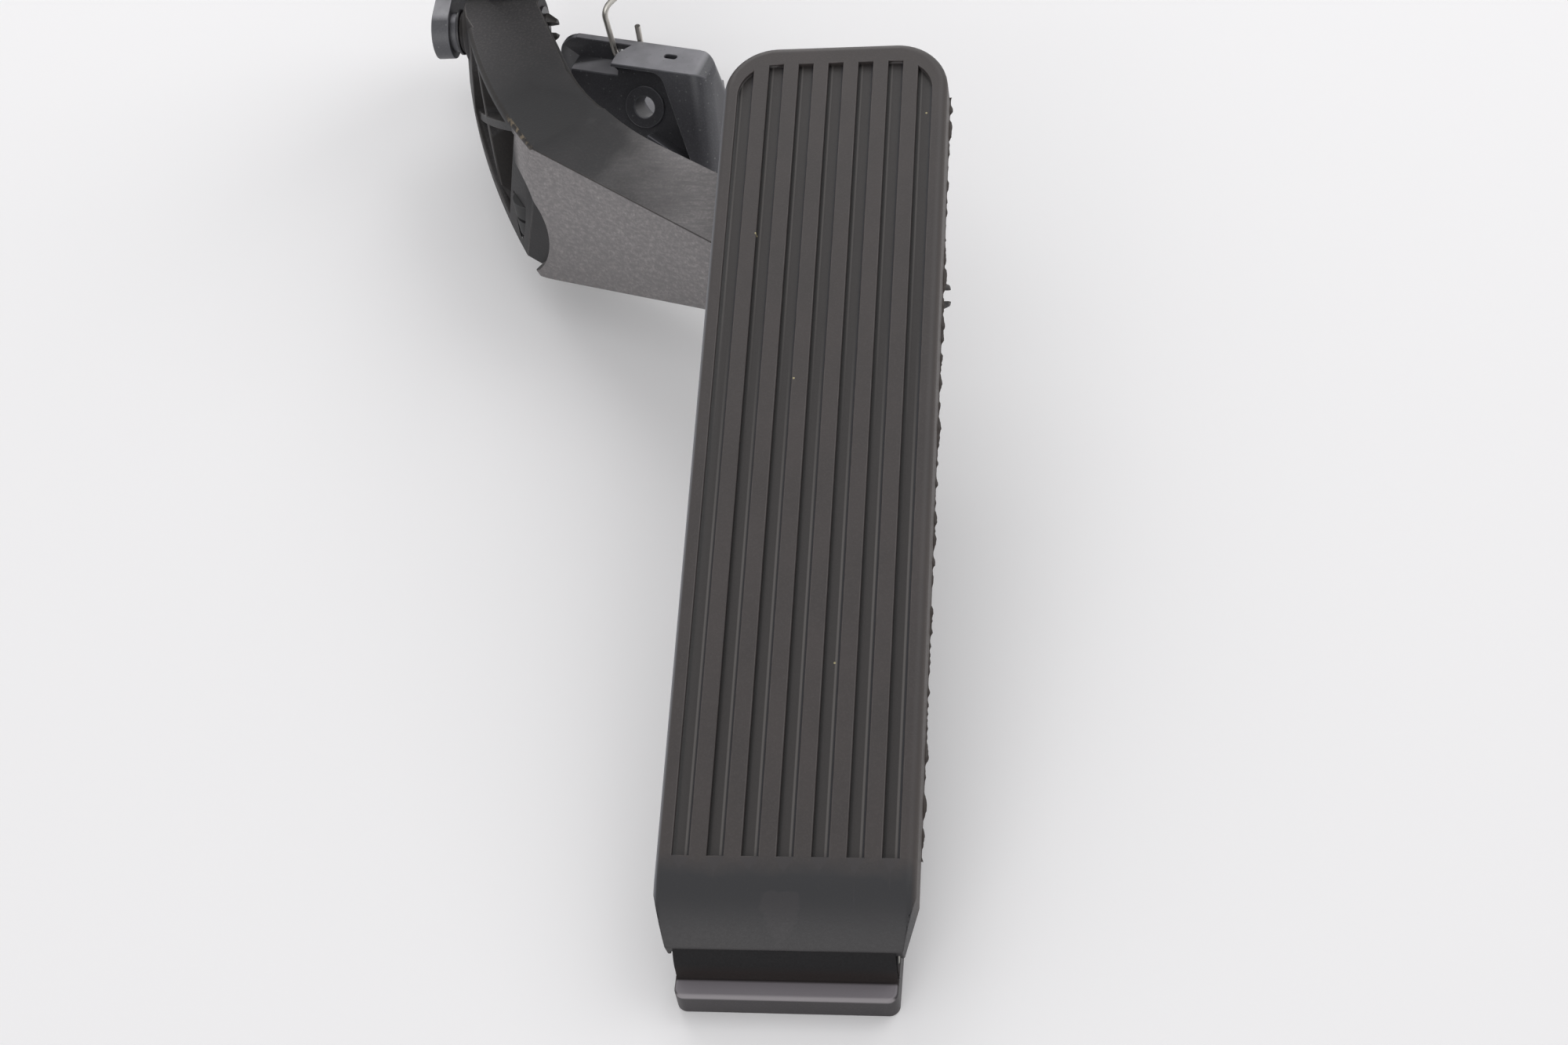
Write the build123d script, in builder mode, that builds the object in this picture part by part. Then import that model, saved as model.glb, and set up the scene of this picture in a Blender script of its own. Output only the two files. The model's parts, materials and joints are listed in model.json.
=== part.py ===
"""Floor-hinged accelerator pedal: grooved plate, foot, lever arm, bearing bracket and return spring.

Millimetres. X runs across the pedal, Y from the driver's heel towards the bulkhead and Z up. The origin
lies on the floor, straight below the hinge of the plate. The pedal stands at idle.
"""
import os
from math import acos, asin, atan2, cos, hypot, radians, sin, tan

from build123d import *

# Plate: the tread is measured from the hinge axis, along the slope and square to it
plate_slope = 14.0
plate_width = 62.0
plate_rise = 13.25
plate_head = 6.5
plate_wall = 3.5
skirt_wall = 3.0
skirt_depth = 11.0
corner_radius = 14.5
rim_radius = 2.6
groove_setback = 19.2
groove_length = 230.0
groove_width = 4.0
groove_depth = 1.6
groove_pitch = 8.3
groove_count = 7
groove_field_radius = 10.0
apron_run = 4.0
apron_radius = 25.0
apron_turn = 42.0
apron_taper = 3.0
apron_taper_run = 12.0
rib_wall = 2.0
rib_inset = 1.0
rib_spread = 24.0
rib_steps = (45.0, 85.0, 125.0, 235.0)

# Hinge of the plate in the foot
hinge_height = 10.0
hinge_pin_diameter = 4.0
barrel_radius = 4.5
cheek_radius = 3.7
cheek_wall = 2.6
running_fit = 0.05
press_clearance = 0.02
side_clearance = 0.3
thrust_gap = 0.2
hinge_gap = 0.6

# Foot
foot_width = 53.0
foot_front = 10.6
foot_toe_height = 7.0
foot_heel = 23.0
foot_heel_height = 9.0
trough_radius = 5.4
foot_corner = 2.6
toe_radius = 0.8
clip_spacing = 28.0
clip_setback = 14.5
clip_bore = 6.6
clip_wall = 0.8
clip_length = 7.0

# Arm: pivot, two legs in plan and the axle under the plate
pivot_y = 302.0
pivot_z = 50.0
hub_radius = 10.0
arm_left = -122.6
arm_width = 21.0
arm_flare = 7.0
arm_bow = 3.5
front_lean = 7.0
knee_x = -90.8
knee_y = 234.0
leg_turn = 28.0
knee_floor = 14.0
hub_drop = 8.0
knee_inside_radius = 70.0
arm_flange = 3.0
arm_web = 7.0
pocket_start = 14.0
knee_wall = 5.0
truss_wall = 2.6
truss_cross = 0.75
truss_clear = 12.0
truss_inset = 1.2
cell_wall = 2.4
cell_count = 4
tip_x = -4.0
tip_half = 6.5
axle_y = 191.6
axle_z = 38.5
axle_diameter = 8.0
boss_radius = 6.3
boss_length = 2.2

# Pivot pin, bushes and roller
pivot_diameter = 8.0
bush_wall = 1.3
bush_flange = 0.8
bush_flange_radius = 7.0
bush_length = 9.0
snap_hook = 0.8
snap_barb = 0.8
snap_taper = 0.7
pin_snap_length = 3.6
axle_snap_length = 5.2
snap_slot = 3.0
snap_turn = -45.0
snap_slot_depth = 9.0
pin_head_radius = 6.0
pin_head = 1.8
roller_inset = 5.5
roller_width = 15.0
roller_diameter = 16.0

# Guide of the roller on the back of the plate
guide_lead = 32.8
guide_length = 48.0
guide_span = 14.0
rail_wall = 1.5
rail_lip = 6.0
rail_clearance = 0.1
roller_gap = 0.3

# Floor buffer at the knee, and the dent in the wall in front of it
buffer_radius = 5.5
buffer_drop = 0.5
buffer_height = 21.0
buffer_groove = 1.2
buffer_rings = 2
buffer_setback = 64.5
buffer_outset = 1.9
dent_radius = 17.8
dent_inset = 14.5
dent_offset = 2.6
dent_height = 29.5

# Tail of the arm and its cable eye
tail_back = 11.0
tail_root_back = 6.0
tail_root_radius = 4.0
tail_height = 54.0
tail_end_radius = 7.5
tail_thickness = 8.0
tail_inset = 7.1
cable_bore = 5.2
eye_wall = 1.9
eye_flange = 1.0

# Bracket: ear, bulkhead flange, post and base, set out from the pivot and the arm's left face
ear_thickness = 5.5
ear_end_radius = 8.0
ear_root_height = 30.0
ear_boss_radius = 6.0
ear_boss_length = 1.8
flange_setback = 54.0
flange_thickness = 6.0
flange_overhang = 23.4
flange_width = 100.0
flange_bottom = 30.0
flange_headroom = 18.0
flange_corner = 12.0
flange_rim = 6.0
flange_rim_wall = 3.0
bolt_diameter = 6.6
sleeve_wall = 1.4
bolt_inset = 13.0
low_bolt_inset = 58.0
low_bolt_rise = 14.0
post_outset = 1.4
post_thickness = 9.0
post_setback = 24.0
post_foot_depth = 19.0
post_shoulder = 62.0
base_thickness = 6.0
base_lead = 10.0
base_depth = 38.0
base_width = 72.0

# Lug of the bracket: u runs along it from its left end, v behind its back face
lug_offset = 30.6
lug_setback = 10.8
lug_turn = 15.0
lug_length = 48.0
lug_height = 40.0
lug_top_depth = 12.0
lug_lean = 30.0
lug_flare = 12.0
lug_corner = 6.0
lug_back_wall = 2.3
wall_overhang = 6.5
wall_round = 8.0
shelf_height = 33.0
shelf_length = 16.2
shelf_notch = 2.9
shelf_notch_depth = 7.0
lug_recess = 6.0
recess_top_wall = 1.0
recess_top_run = 33.0
recess_low_run = 45.4
recess_low_height = 16.0
recess_corner = 5.0
ledge_along = 30.0
ledge_height = 22.2
lug_hole_diameter = 6.7
lug_hole_along = 26.4
lug_hole_drop = 14.4
lug_boss_radius = 6.6
lug_boss_height = 1.0
lug_bolt_length = 8.0
nut_pocket_radius = 7.5
nut_pocket_run = 14.0
lug_slot_along = 33.8
lug_slot_setback = 5.0
lug_slot_length = 4.0
lug_slot_width = 1.8
lug_slot_depth = 6.0

# Return spring
wire_diameter = 1.8
wire_sides = 6
coil_setback = 30.0
coil_rise = 24.0
coil_radius = 7.0
coil_offset = 32.0
coil_turns = 4
coil_pitch = 2.1
wire_bend = 4.0
coil_approach = 10.0
spring_leg_depth = 4.0
spring_leg_foot = 14.4
spring_leg_top = 13.0
spring_leg_height = 54.0
spring_stub_along = 20.8
spring_stub_rise = 5.0
hook_slot_height = 4.5
spring_reach = 36.0
spring_hook_end = 8.0
spring_seat_gap = 0.3
peg_radius = 4.5
spool_wall = 1.2
spool_flange = 1.0
spool_flange_radius = 8.6
peg_cheek = 6.0
peg_cheek_radius = 13.0
cheek_root_height = 32.0
peg_reach = 2.4
push_nut_radius = 7.0
push_nut_wall = 0.8

# Idle stop and cable grommet
stop_radius = 7.0
stop_length = 9.0
stop_dome = 2.0
stop_stem_radius = 3.0
stop_stem_length = 8.0
stop_rise = 36.0
stop_gap = 0.3
grommet_bore = 7.0
grommet_radius = 7.0
grommet_lip = 1.8
grommet_lip_width = 2.0

# How far a cut runs past the face that it opens
overrun = 30.0

os.makedirs("parts", exist_ok=True)

slope = radians(plate_slope)
hinge = Vector(0, 0, hinge_height)
tread_plane = Plane(origin=hinge, x_dir=(1, 0, 0), z_dir=(0, -sin(slope), cos(slope)))
plate_side = Plane(origin=hinge, x_dir=(0, cos(slope), sin(slope)), z_dir=(1, 0, 0))
plate_end = groove_setback + groove_length + plate_head
bend_start = groove_setback - apron_run
bend_centre = (bend_start, plate_rise - apron_radius)
skirt_floor = plate_rise - skirt_depth
skin_under = plate_rise - plate_wall
pin_radius = hinge_pin_diameter / 2
barrel_half = foot_width / 2 - cheek_wall - side_clearance


def turned(points, y, z):
    """Solid turned about the line parallel to X through (y, z), from points of (x, radius)."""
    with BuildPart() as solid:
        with BuildSketch(Plane(origin=(0, y, z), x_dir=(1, 0, 0), z_dir=(0, -1, 0))):
            with BuildLine():
                Polyline(*points, close=True)
            make_face()
        revolve(axis=Axis((0, y, z), (1, 0, 0)))
    return solid.part


def snap_end(start, length, radius, y, z):
    """Barbed end of a snap pin that starts at x = start and points to +X."""
    barb = start + snap_barb
    end = start + length
    points = [(start, 0), (start, radius + snap_hook), (barb, radius + snap_hook)]
    return turned(points + [(end, radius * snap_taper), (end, 0)], y, z)


def save(part, name):
    """Label a finished piece and write it under its own name."""
    part.label = name
    export_step(part, f"parts/{name}.step")


# Pedal plate


def tread_blank(depth, inset, floor):
    """Solid whose skin lies depth below the tread and whose sides lie inset within the rim."""
    half = plate_width / 2 - inset
    end = plate_end - inset
    top = plate_rise - depth
    lip_angle = radians(90 + apron_turn)
    lip_s = bend_centre[0] + (apron_radius - depth) * cos(lip_angle)
    lip_n = bend_centre[1] + (apron_radius - depth) * sin(lip_angle)
    with BuildPart() as blank:
        with BuildSketch(plate_side):
            with BuildLine():
                Polyline((lip_s, lip_n), (lip_s, floor), (end, floor), (end, top), (bend_start, top))
                CenterArc(bend_centre, apron_radius - depth, 90, apron_turn)
            make_face()
        extrude(amount=half, both=True)
        with BuildSketch(tread_plane.offset(floor)) as outline:
            with Locations((0, end)):
                Rectangle(2 * half, 2 * plate_end, align=(Align.CENTER, Align.MAX))
            fillet(outline.vertices().group_by(Axis.Y)[-1], corner_radius - inset)
        extrude(amount=plate_rise - floor, mode=Mode.INTERSECT)
    return blank.part


def apron_corners(half):
    """Wedges to cut from a plate whose sides lie at half, so that they draw in towards the lip."""
    lip_s = bend_start - apron_radius * sin(radians(apron_turn))
    low = lip_s - apron_taper_run
    wide = half + apron_taper
    with BuildPart() as wedges:
        with BuildSketch(tread_plane):
            with BuildLine():
                Polyline(
                    (wide, lip_s + 2 * apron_taper_run),
                    (half - 2 * apron_taper, low),
                    (wide, low),
                    close=True,
                )
            make_face()
            mirror(about=Plane.YZ)
        extrude(amount=plate_rise + overrun, both=True)
    return wedges.part


# Roller centre and guide face, measured along the tread (s) and square to it (n) from the hinge axis
roller_n = -(axle_y * sin(slope)) + (axle_z - hinge_height) * cos(slope)
roller_s = axle_y * cos(slope) + (axle_z - hinge_height) * sin(slope)
guide_face = roller_n + roller_diameter / 2 + roller_gap
rail_seat = guide_face + rail_wall
roller_x = plate_width / 2 - roller_inset - roller_width
guide_x = roller_x + roller_width / 2
guide_start = roller_s - guide_lead
guide_middle = guide_start + guide_length / 2

with BuildPart() as plate_hollow:
    add(tread_blank(plate_wall, skirt_wall, skirt_floor - overrun))
    add(apron_corners(plate_width / 2 - skirt_wall), mode=Mode.SUBTRACT)

with BuildPart() as pedal_plate:
    add(tread_blank(0, 0, skirt_floor))
    tread_face = pedal_plate.faces().filter_by(GeomType.PLANE).sort_by(Axis(hinge, tread_plane.z_dir))[-1]
    apron_face = pedal_plate.faces().filter_by(GeomType.CYLINDER).sort_by(SortBy.AREA)[-1]
    rim = ShapeList(tread_face.edges() + apron_face.edges())
    head_edge = rim.filter_by(Axis.X).sort_by(Axis.Y)[-1]
    fillet(rim.filter_by(Axis.X, reverse=True) + [head_edge], rim_radius)
    add(apron_corners(plate_width / 2), mode=Mode.SUBTRACT)
    add(plate_hollow.part, mode=Mode.SUBTRACT)
    # Grooves, clipped at the top by the rounded field they lie in
    field_length = groove_length + 2 * groove_field_radius
    field_width = groove_pitch * (groove_count - 1) + groove_width
    with BuildSketch(tread_plane.offset(plate_rise)):
        with Locations((0, groove_setback + groove_length / 2)):
            with GridLocations(groove_pitch, 0, groove_count, 1):
                Rectangle(groove_width, groove_length)
        with Locations((0, groove_setback + groove_length - field_length / 2)):
            RectangleRounded(field_width, field_length, groove_field_radius, mode=Mode.INTERSECT)
    extrude(amount=-groove_depth, mode=Mode.SUBTRACT)
    # Stiffening ribs between the skirts
    rib_floor = skirt_floor + rib_inset
    with BuildSketch(tread_plane.offset(rib_floor)):
        rib_end = guide_start - rib_wall
        with Locations((0, (bend_start + rib_end) / 2)):
            with GridLocations(rib_spread, 0, 2, 1):
                Rectangle(rib_wall, rib_end - bend_start)
        with Locations(*[(0, s) for s in rib_steps]):
            Rectangle(plate_width - skirt_wall, rib_wall)
    extrude(amount=skin_under + rib_inset - rib_floor)
    # Two deep ribs and their end walls carry the guide rail
    with BuildSketch(tread_plane.offset(rail_seat)):
        with Locations((guide_x, guide_middle)):
            with GridLocations(guide_span - rib_wall, 0, 2, 1):
                Rectangle(rib_wall, guide_length)
            with GridLocations(0, guide_length - rib_wall, 1, 2):
                Rectangle(guide_span, rib_wall)
    extrude(amount=skin_under + rib_inset - rail_seat)
    # Hinge barrel below the lip, with room for the cheeks of the foot beside it
    with BuildSketch(plate_side):
        Circle(cheek_radius + hinge_gap)
    extrude(amount=foot_width / 2 + hinge_gap, both=True, mode=Mode.SUBTRACT)
    with BuildSketch(plate_side):
        Circle(barrel_radius)
        Circle(pin_radius + running_fit, mode=Mode.SUBTRACT)
    extrude(amount=barrel_half, both=True)
save(pedal_plate.part, "pedal_plate")

with BuildPart() as guide_rail:
    inner_span = guide_span + 2 * rail_clearance
    with BuildSketch(tread_plane.offset(guide_face)):
        with Locations((guide_x, guide_middle)):
            Rectangle(inner_span + 2 * rail_wall, guide_length)
    extrude(amount=rail_wall + rail_lip)
    with BuildSketch(tread_plane.offset(rail_seat)):
        with Locations((guide_x, guide_middle)):
            Rectangle(inner_span, guide_length)
    extrude(amount=rail_lip, mode=Mode.SUBTRACT)
save(guide_rail.part, "guide_rail")

# Foot, hinge pin and floor clips

trough_toe = -((trough_radius**2 - (hinge_height - foot_toe_height) ** 2) ** 0.5)
trough_heel = (trough_radius**2 - (hinge_height - foot_heel_height) ** 2) ** 0.5

with BuildPart() as foot:
    with BuildSketch(Plane.YZ):
        with BuildLine():
            trough = ThreePointArc(
                (trough_heel, foot_heel_height),
                (0, hinge_height - trough_radius),
                (trough_toe, foot_toe_height),
            )
            Polyline(
                trough @ 1,
                (-foot_front, foot_toe_height),
                (-foot_front, 0),
                (foot_heel, 0),
                (foot_heel, foot_heel_height),
                trough @ 0,
            )
        make_face()
    extrude(amount=foot_width / 2, both=True)
    fillet(foot.edges().filter_by(Axis.Z).group_by(Axis.Y)[0], foot_corner)
    toe_top = foot.faces().filter_by(Axis.Z).sort_by(Axis.Y)[0]
    fillet(toe_top.edges().sort_by(Axis.Y)[:-1], toe_radius)
    # Cheeks at both ends hold the hinge pin
    with BuildSketch(Plane.YZ.offset(foot_width / 2)):
        with Locations((0, hinge_height)):
            Circle(cheek_radius)
        with Locations((0, hinge_height / 2)):
            Rectangle(2 * cheek_radius, hinge_height)
    extrude(amount=-cheek_wall)
    mirror(about=Plane.YZ)
    with BuildSketch(Plane.YZ):
        with Locations((0, hinge_height)):
            Circle(pin_radius + press_clearance)
    extrude(amount=foot_width, both=True, mode=Mode.SUBTRACT)
    clip_radius = clip_bore / 2 + clip_wall
    with BuildSketch(Plane.XY):
        with Locations((0, clip_setback)):
            with GridLocations(clip_spacing, 0, 2, 1):
                Circle(clip_radius + press_clearance)
    extrude(amount=clip_length, mode=Mode.SUBTRACT)
save(foot.part, "foot")

with BuildPart() as hinge_pin:
    with BuildSketch(Plane.YZ):
        with Locations((0, hinge_height)):
            Circle(pin_radius)
    extrude(amount=foot_width / 2, both=True)
save(hinge_pin.part, "hinge_pin")

for side, clip_x in (("left", -clip_spacing / 2), ("right", clip_spacing / 2)):
    with BuildPart() as floor_clip:
        with BuildSketch(Plane.XY):
            with Locations((clip_x, clip_setback)):
                Circle(clip_radius)
                Circle(clip_bore / 2, mode=Mode.SUBTRACT)
        extrude(amount=clip_length)
    save(floor_clip.part, f"floor_clip_{side}")

# Arm: plan directions of its two legs, d1 from pivot to knee and d2 from knee to tip
hub_left = Vector(arm_left, pivot_y)
knee = Vector(knee_x, knee_y)
d1 = (knee - hub_left).normalized()
d2 = Vector(cos(radians(leg_turn)), -sin(radians(leg_turn)))
out1 = Vector(d1.Y, -d1.X)
out2 = Vector(d2.Y, -d2.X)
hub_right = arm_left - arm_width / out1.X
arm_top = pivot_z + hub_radius
tail_x = arm_left + tail_inset
along = (d1 + d2).normalized()
across = Vector(along.Y, -along.X)


def plan_at(base, direction, x):
    """Point on a plan line at a given x."""
    return base + direction * ((x - base.X) / direction.X)


def meet(base_a, dir_a, base_b, dir_b):
    """Crossing of two plan lines."""
    turn = dir_a.X * dir_b.Y - dir_a.Y * dir_b.X
    gap = base_b - base_a
    return base_a + dir_a * ((gap.X * dir_b.Y - gap.Y * dir_b.X) / turn)


flare_line = hub_left + out1 * (arm_flare + arm_bow)
front_line = knee + out2 * front_lean
inner_line = hub_left - out1 * arm_width
back_line = knee - out2 * arm_width
knee_outside = meet(flare_line, d1, front_line, d2)
knee_inside = meet(inner_line, d1, back_line, d2)
tip_front = plan_at(front_line, d2, tip_x)
tip_back = Vector(tip_x, axle_y + tip_half)
taper_start = plan_at(back_line, d2, -plate_width / 2)
arm_side = Plane(origin=(arm_left, pivot_y, 0), x_dir=tuple(along), z_dir=tuple(across))
hub_to_knee = (knee - hub_left).length
bow_radius = hub_to_knee**2 / (8 * arm_bow) + arm_bow / 2
bow_centre = (hub_left + knee) / 2 - out1 * (bow_radius - arm_bow)


def reach(point):
    """Distance of a plan point along the arm's side view."""
    return (point - hub_left).dot(along)


def arm_slab(plan_points, inside_radius, shrink):
    """Plan outline run up and down, cut to the arm's side view shrunk by shrink."""
    far = arm_width + hub_radius
    tip = reach(Vector(tip_x, axle_y)) + arm_width
    tip_share = (tip - reach(knee)) / (tip - arm_width - reach(knee))
    top_drop = (arm_top - axle_z - tip_half) * tip_share
    floor_lift = (axle_z - tip_half - knee_floor) * tip_share
    with BuildPart() as slab:
        with BuildSketch() as plan:
            with BuildLine():
                Polyline(*[(p.X, p.Y) for p in plan_points], close=True)
            make_face()
            if inside_radius:
                corner = plan.vertices().sort_by_distance((knee_inside.X, knee_inside.Y))[0]
                fillet(corner, inside_radius)
        extrude(amount=arm_top + hub_radius)
        with BuildSketch(arm_side) as side:
            with BuildLine():
                Polyline(
                    (-far, arm_top),
                    (reach(knee), arm_top),
                    (tip, arm_top - top_drop),
                    (tip, knee_floor + floor_lift),
                    (reach(knee), knee_floor),
                    (0, pivot_z - hub_radius - hub_drop),
                    (-far, pivot_z - hub_radius - hub_drop),
                    close=True,
                )
            make_face()
            low = side.vertices().sort_by(Axis.Y)[0]
            fillet(low, arm_width)
            offset(amount=-shrink, kind=Kind.INTERSECTION)
        extrude(amount=2 * pivot_y, both=True, mode=Mode.INTERSECT)
    return slab.part


leg_outline = [flare_line, knee_outside, tip_front, tip_back, taper_start, knee_inside, inner_line]
leg1_pocket = [
    flare_line + out1 * arm_flare + d1 * pocket_start,
    meet(flare_line + out1 * arm_flare, d1, knee - out2 * knee_wall, d2),
    meet(inner_line + out1 * arm_web, d1, knee - out2 * knee_wall, d2),
    inner_line + out1 * arm_web + d1 * pocket_start,
]
cell_start = plan_at(back_line, d2, knee_inside.X + arm_width / 2)
cell_span = (taper_start - cell_start).dot(d2)
cell_pitch = cell_span / cell_count
cell_depth = arm_width - arm_web


def lean_section(start, run):
    """Corners of the section outside a wall that leans out by run from the arm's top to the knee's floor."""
    far = start + run + overrun
    high = arm_top + hub_radius
    return [(start, arm_top), (start + run, knee_floor), (far, knee_floor), (far, high), (start, high)]


def beyond_left_side(inset):
    """Ring of space to the left of the arm's bowed and leaning left side, from inset inside it."""
    middle = (bow_centre.X, bow_centre.Y, 0)
    with BuildPart() as ring:
        with BuildSketch(Plane(origin=middle, x_dir=(1, 0, 0), z_dir=(0, -1, 0))):
            with BuildLine():
                Polyline(*lean_section(bow_radius - inset, arm_flare), close=True)
            make_face()
        revolve(axis=Axis(middle, (0, 0, 1)))
    return ring.part


# Crossed truss ribs for the open channel, which stop short of the arm's left side
truss_plane = Plane(origin=(arm_left, pivot_y, 0), x_dir=tuple(d1), z_dir=tuple(out1))
truss_end = hub_to_knee - truss_clear
truss_floor = pivot_z - hub_radius - hub_drop + arm_flange / 2
with BuildPart() as truss:
    with BuildSketch(truss_plane.offset(-(arm_width - arm_web))):
        for low_end, high_end in ((pocket_start, truss_end), (truss_end * truss_cross, pocket_start)):
            floor = truss_floor - (truss_floor - arm_flange / 2 - knee_floor) * low_end / truss_end
            with BuildLine():
                Line((low_end, floor), (high_end, arm_top - arm_flange / 2))
            trace(line_width=truss_wall)
    extrude(amount=arm_width - arm_web + arm_bow + arm_flare)
    add(beyond_left_side(truss_inset), mode=Mode.SUBTRACT)

with BuildPart() as arm:
    add(arm_slab(leg_outline, knee_inside_radius, 0))
    # Left side bows out, and it and the front wall lean out towards the floor
    add(beyond_left_side(0), mode=Mode.SUBTRACT)
    with BuildSketch(Plane(origin=(knee.X, knee.Y, 0), x_dir=tuple(out2), z_dir=tuple(-d2))):
        with BuildLine():
            Polyline(*lean_section(0, front_lean), close=True)
        make_face()
    extrude(amount=pivot_y, both=True, mode=Mode.SUBTRACT)
    # Behind the pivot only the round of the hub is left
    with BuildSketch(Plane.YZ):
        with Locations((pivot_y, pivot_z)):
            Circle(hub_radius)
        with Locations((pivot_y, 0)):
            Rectangle(pivot_y, 2 * arm_top, align=(Align.MAX, Align.CENTER))
    extrude(amount=2 * pivot_y, both=True, mode=Mode.INTERSECT)
    # Open channel on the left of the first leg, and cells behind the wall of the second leg
    add(arm_slab(leg1_pocket, 0, arm_flange), mode=Mode.SUBTRACT)
    for cell in range(cell_count):
        left = cell_start + d2 * (cell * cell_pitch)
        right = left + d2 * (cell_pitch - cell_wall)
        corners = [left + out2 * cell_depth, right + out2 * cell_depth]
        corners += [right - out2 * cell_wall, left - out2 * cell_wall]
        add(arm_slab(corners, 0, arm_flange), mode=Mode.SUBTRACT)
    # Hub with its left boss, and the tail lever above it
    with BuildSketch(Plane.YZ.offset(arm_left)):
        with Locations((pivot_y, pivot_z)):
            Circle(hub_radius)
    extrude(amount=hub_right - arm_left)
    with BuildSketch(Plane.YZ.offset(arm_left)):
        with Locations((pivot_y, pivot_z)):
            Circle(boss_radius)
    extrude(amount=-boss_length)
    with BuildSketch(Plane.YZ.offset(tail_x)):
        with Locations((pivot_y + tail_root_back, pivot_z)):
            Circle(tail_root_radius)
        with Locations((pivot_y + tail_back, pivot_z + tail_height)):
            Circle(tail_end_radius)
        make_hull()
    extrude(amount=tail_thickness)
    add(truss.part)
    # Axle for the roller, with its snap end
    with BuildSketch(Plane.YZ.offset(tip_x - arm_width / 2)):
        with Locations((axle_y, axle_z)):
            Circle(tip_half)
    extrude(amount=roller_x - side_clearance - tip_x + arm_width / 2)
    with BuildSketch(Plane.YZ.offset(tip_x)):
        with Locations((axle_y, axle_z)):
            Circle(axle_diameter / 2)
    roller_end = roller_x + roller_width + side_clearance
    extrude(amount=roller_end - tip_x)
    add(snap_end(roller_end, axle_snap_length, axle_diameter / 2, axle_y, axle_z))
    with BuildSketch(Plane.YZ.offset(roller_end + axle_snap_length)):
        with Locations((axle_y, axle_z)):
            Rectangle(2 * tip_half, snap_slot, rotation=snap_turn)
    extrude(amount=-snap_slot_depth, mode=Mode.SUBTRACT)
    # Bores for the bushes and the cable eye
    bush_radius = pivot_diameter / 2 + running_fit + bush_wall
    with BuildSketch(Plane.YZ):
        with Locations((pivot_y, pivot_z)):
            Circle(bush_radius + press_clearance)
    extrude(amount=-2 * pivot_y, mode=Mode.SUBTRACT)
    with BuildSketch(Plane.YZ.offset(hub_right)):
        with Locations((pivot_y, pivot_z)):
            Circle(bush_flange_radius + side_clearance)
    extrude(amount=overrun, mode=Mode.SUBTRACT)
    eye_radius = cable_bore / 2 + eye_wall
    with BuildSketch(Plane.YZ):
        with Locations((pivot_y + tail_back, pivot_z + tail_height)):
            Circle(eye_radius + press_clearance)
    extrude(amount=-2 * pivot_y, mode=Mode.SUBTRACT)
    # Socket of the floor buffer in the channel, and the round dent in the front wall
    buffer_spot = hub_left + d1 * buffer_setback + out1 * buffer_outset
    with BuildSketch(Plane.XY):
        with Locations((buffer_spot.X, buffer_spot.Y)):
            Circle(buffer_radius + side_clearance)
    extrude(amount=knee_floor - buffer_drop + buffer_height, mode=Mode.SUBTRACT)
    front_plane = Plane(origin=(knee.X, knee.Y, 0), x_dir=tuple(d2), z_dir=tuple(out2))
    with BuildSketch(front_plane.offset(dent_offset)):
        with Locations((-dent_inset, dent_height)):
            Circle(dent_radius)
    extrude(amount=overrun, mode=Mode.SUBTRACT)
save(arm.part, "arm")

# Pivot pin with its bushes, roller, floor buffer and cable eye
boss_left = arm_left - boss_length
ear_face = boss_left - bush_flange - thrust_gap
ear_right = ear_face - ear_boss_length
ear_left = ear_right - ear_thickness
pivot_radius = pivot_diameter / 2

with BuildPart() as pivot_pin:
    snap_start = hub_right + bush_flange + thrust_gap
    shank = [(ear_left, 0), (ear_left, pin_head_radius), (ear_left + pin_head, pin_head_radius)]
    shank += [(ear_left + pin_head, pivot_radius), (snap_start, pivot_radius), (snap_start, 0)]
    add(turned(shank, pivot_y, pivot_z))
    add(snap_end(snap_start, pin_snap_length, pivot_radius, pivot_y, pivot_z))
    with BuildSketch(Plane.YZ.offset(snap_start + pin_snap_length)):
        with Locations((pivot_y, pivot_z)):
            Rectangle(2 * hub_radius, snap_slot, rotation=snap_turn)
    extrude(amount=-snap_slot_depth, mode=Mode.SUBTRACT)
save(pivot_pin.part, "pivot_pin")


def flanged_bush(face, outward):
    """Bush for the hub whose flange lies on the hub's face and points outward along X."""
    bore = pivot_radius + running_fit
    outer = face + outward * bush_flange
    inner = face - outward * bush_length
    points = [(outer, bore), (outer, bush_flange_radius), (face, bush_flange_radius)]
    return turned(points + [(face, bush_radius), (inner, bush_radius), (inner, bore)], pivot_y, pivot_z)


with BuildPart() as left_bush:
    add(flanged_bush(boss_left, -1))
save(left_bush.part, "left_bush")

with BuildPart() as right_bush:
    add(flanged_bush(hub_right, 1))
save(right_bush.part, "right_bush")

with BuildPart() as roller:
    bore = axle_diameter / 2 + running_fit
    end = roller_x + roller_width
    points = [(roller_x, bore), (roller_x, roller_diameter / 2), (end, roller_diameter / 2), (end, bore)]
    add(turned(points, axle_y, axle_z))
save(roller.part, "roller")

with BuildPart() as floor_buffer:
    buffer_floor = knee_floor - buffer_drop
    buffer_step = buffer_height / (buffer_rings + 1)
    at_spot = Plane(origin=(buffer_spot.X, buffer_spot.Y, buffer_floor))
    with BuildSketch(at_spot):
        Circle(buffer_radius)
    extrude(amount=buffer_height - side_clearance)
    for ring in range(1, buffer_rings + 1):
        with BuildSketch(at_spot.offset(ring * buffer_step)):
            Circle(buffer_radius + overrun)
            Circle(buffer_radius - buffer_groove, mode=Mode.SUBTRACT)
        extrude(amount=buffer_groove, mode=Mode.SUBTRACT)
save(floor_buffer.part, "floor_buffer")

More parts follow.
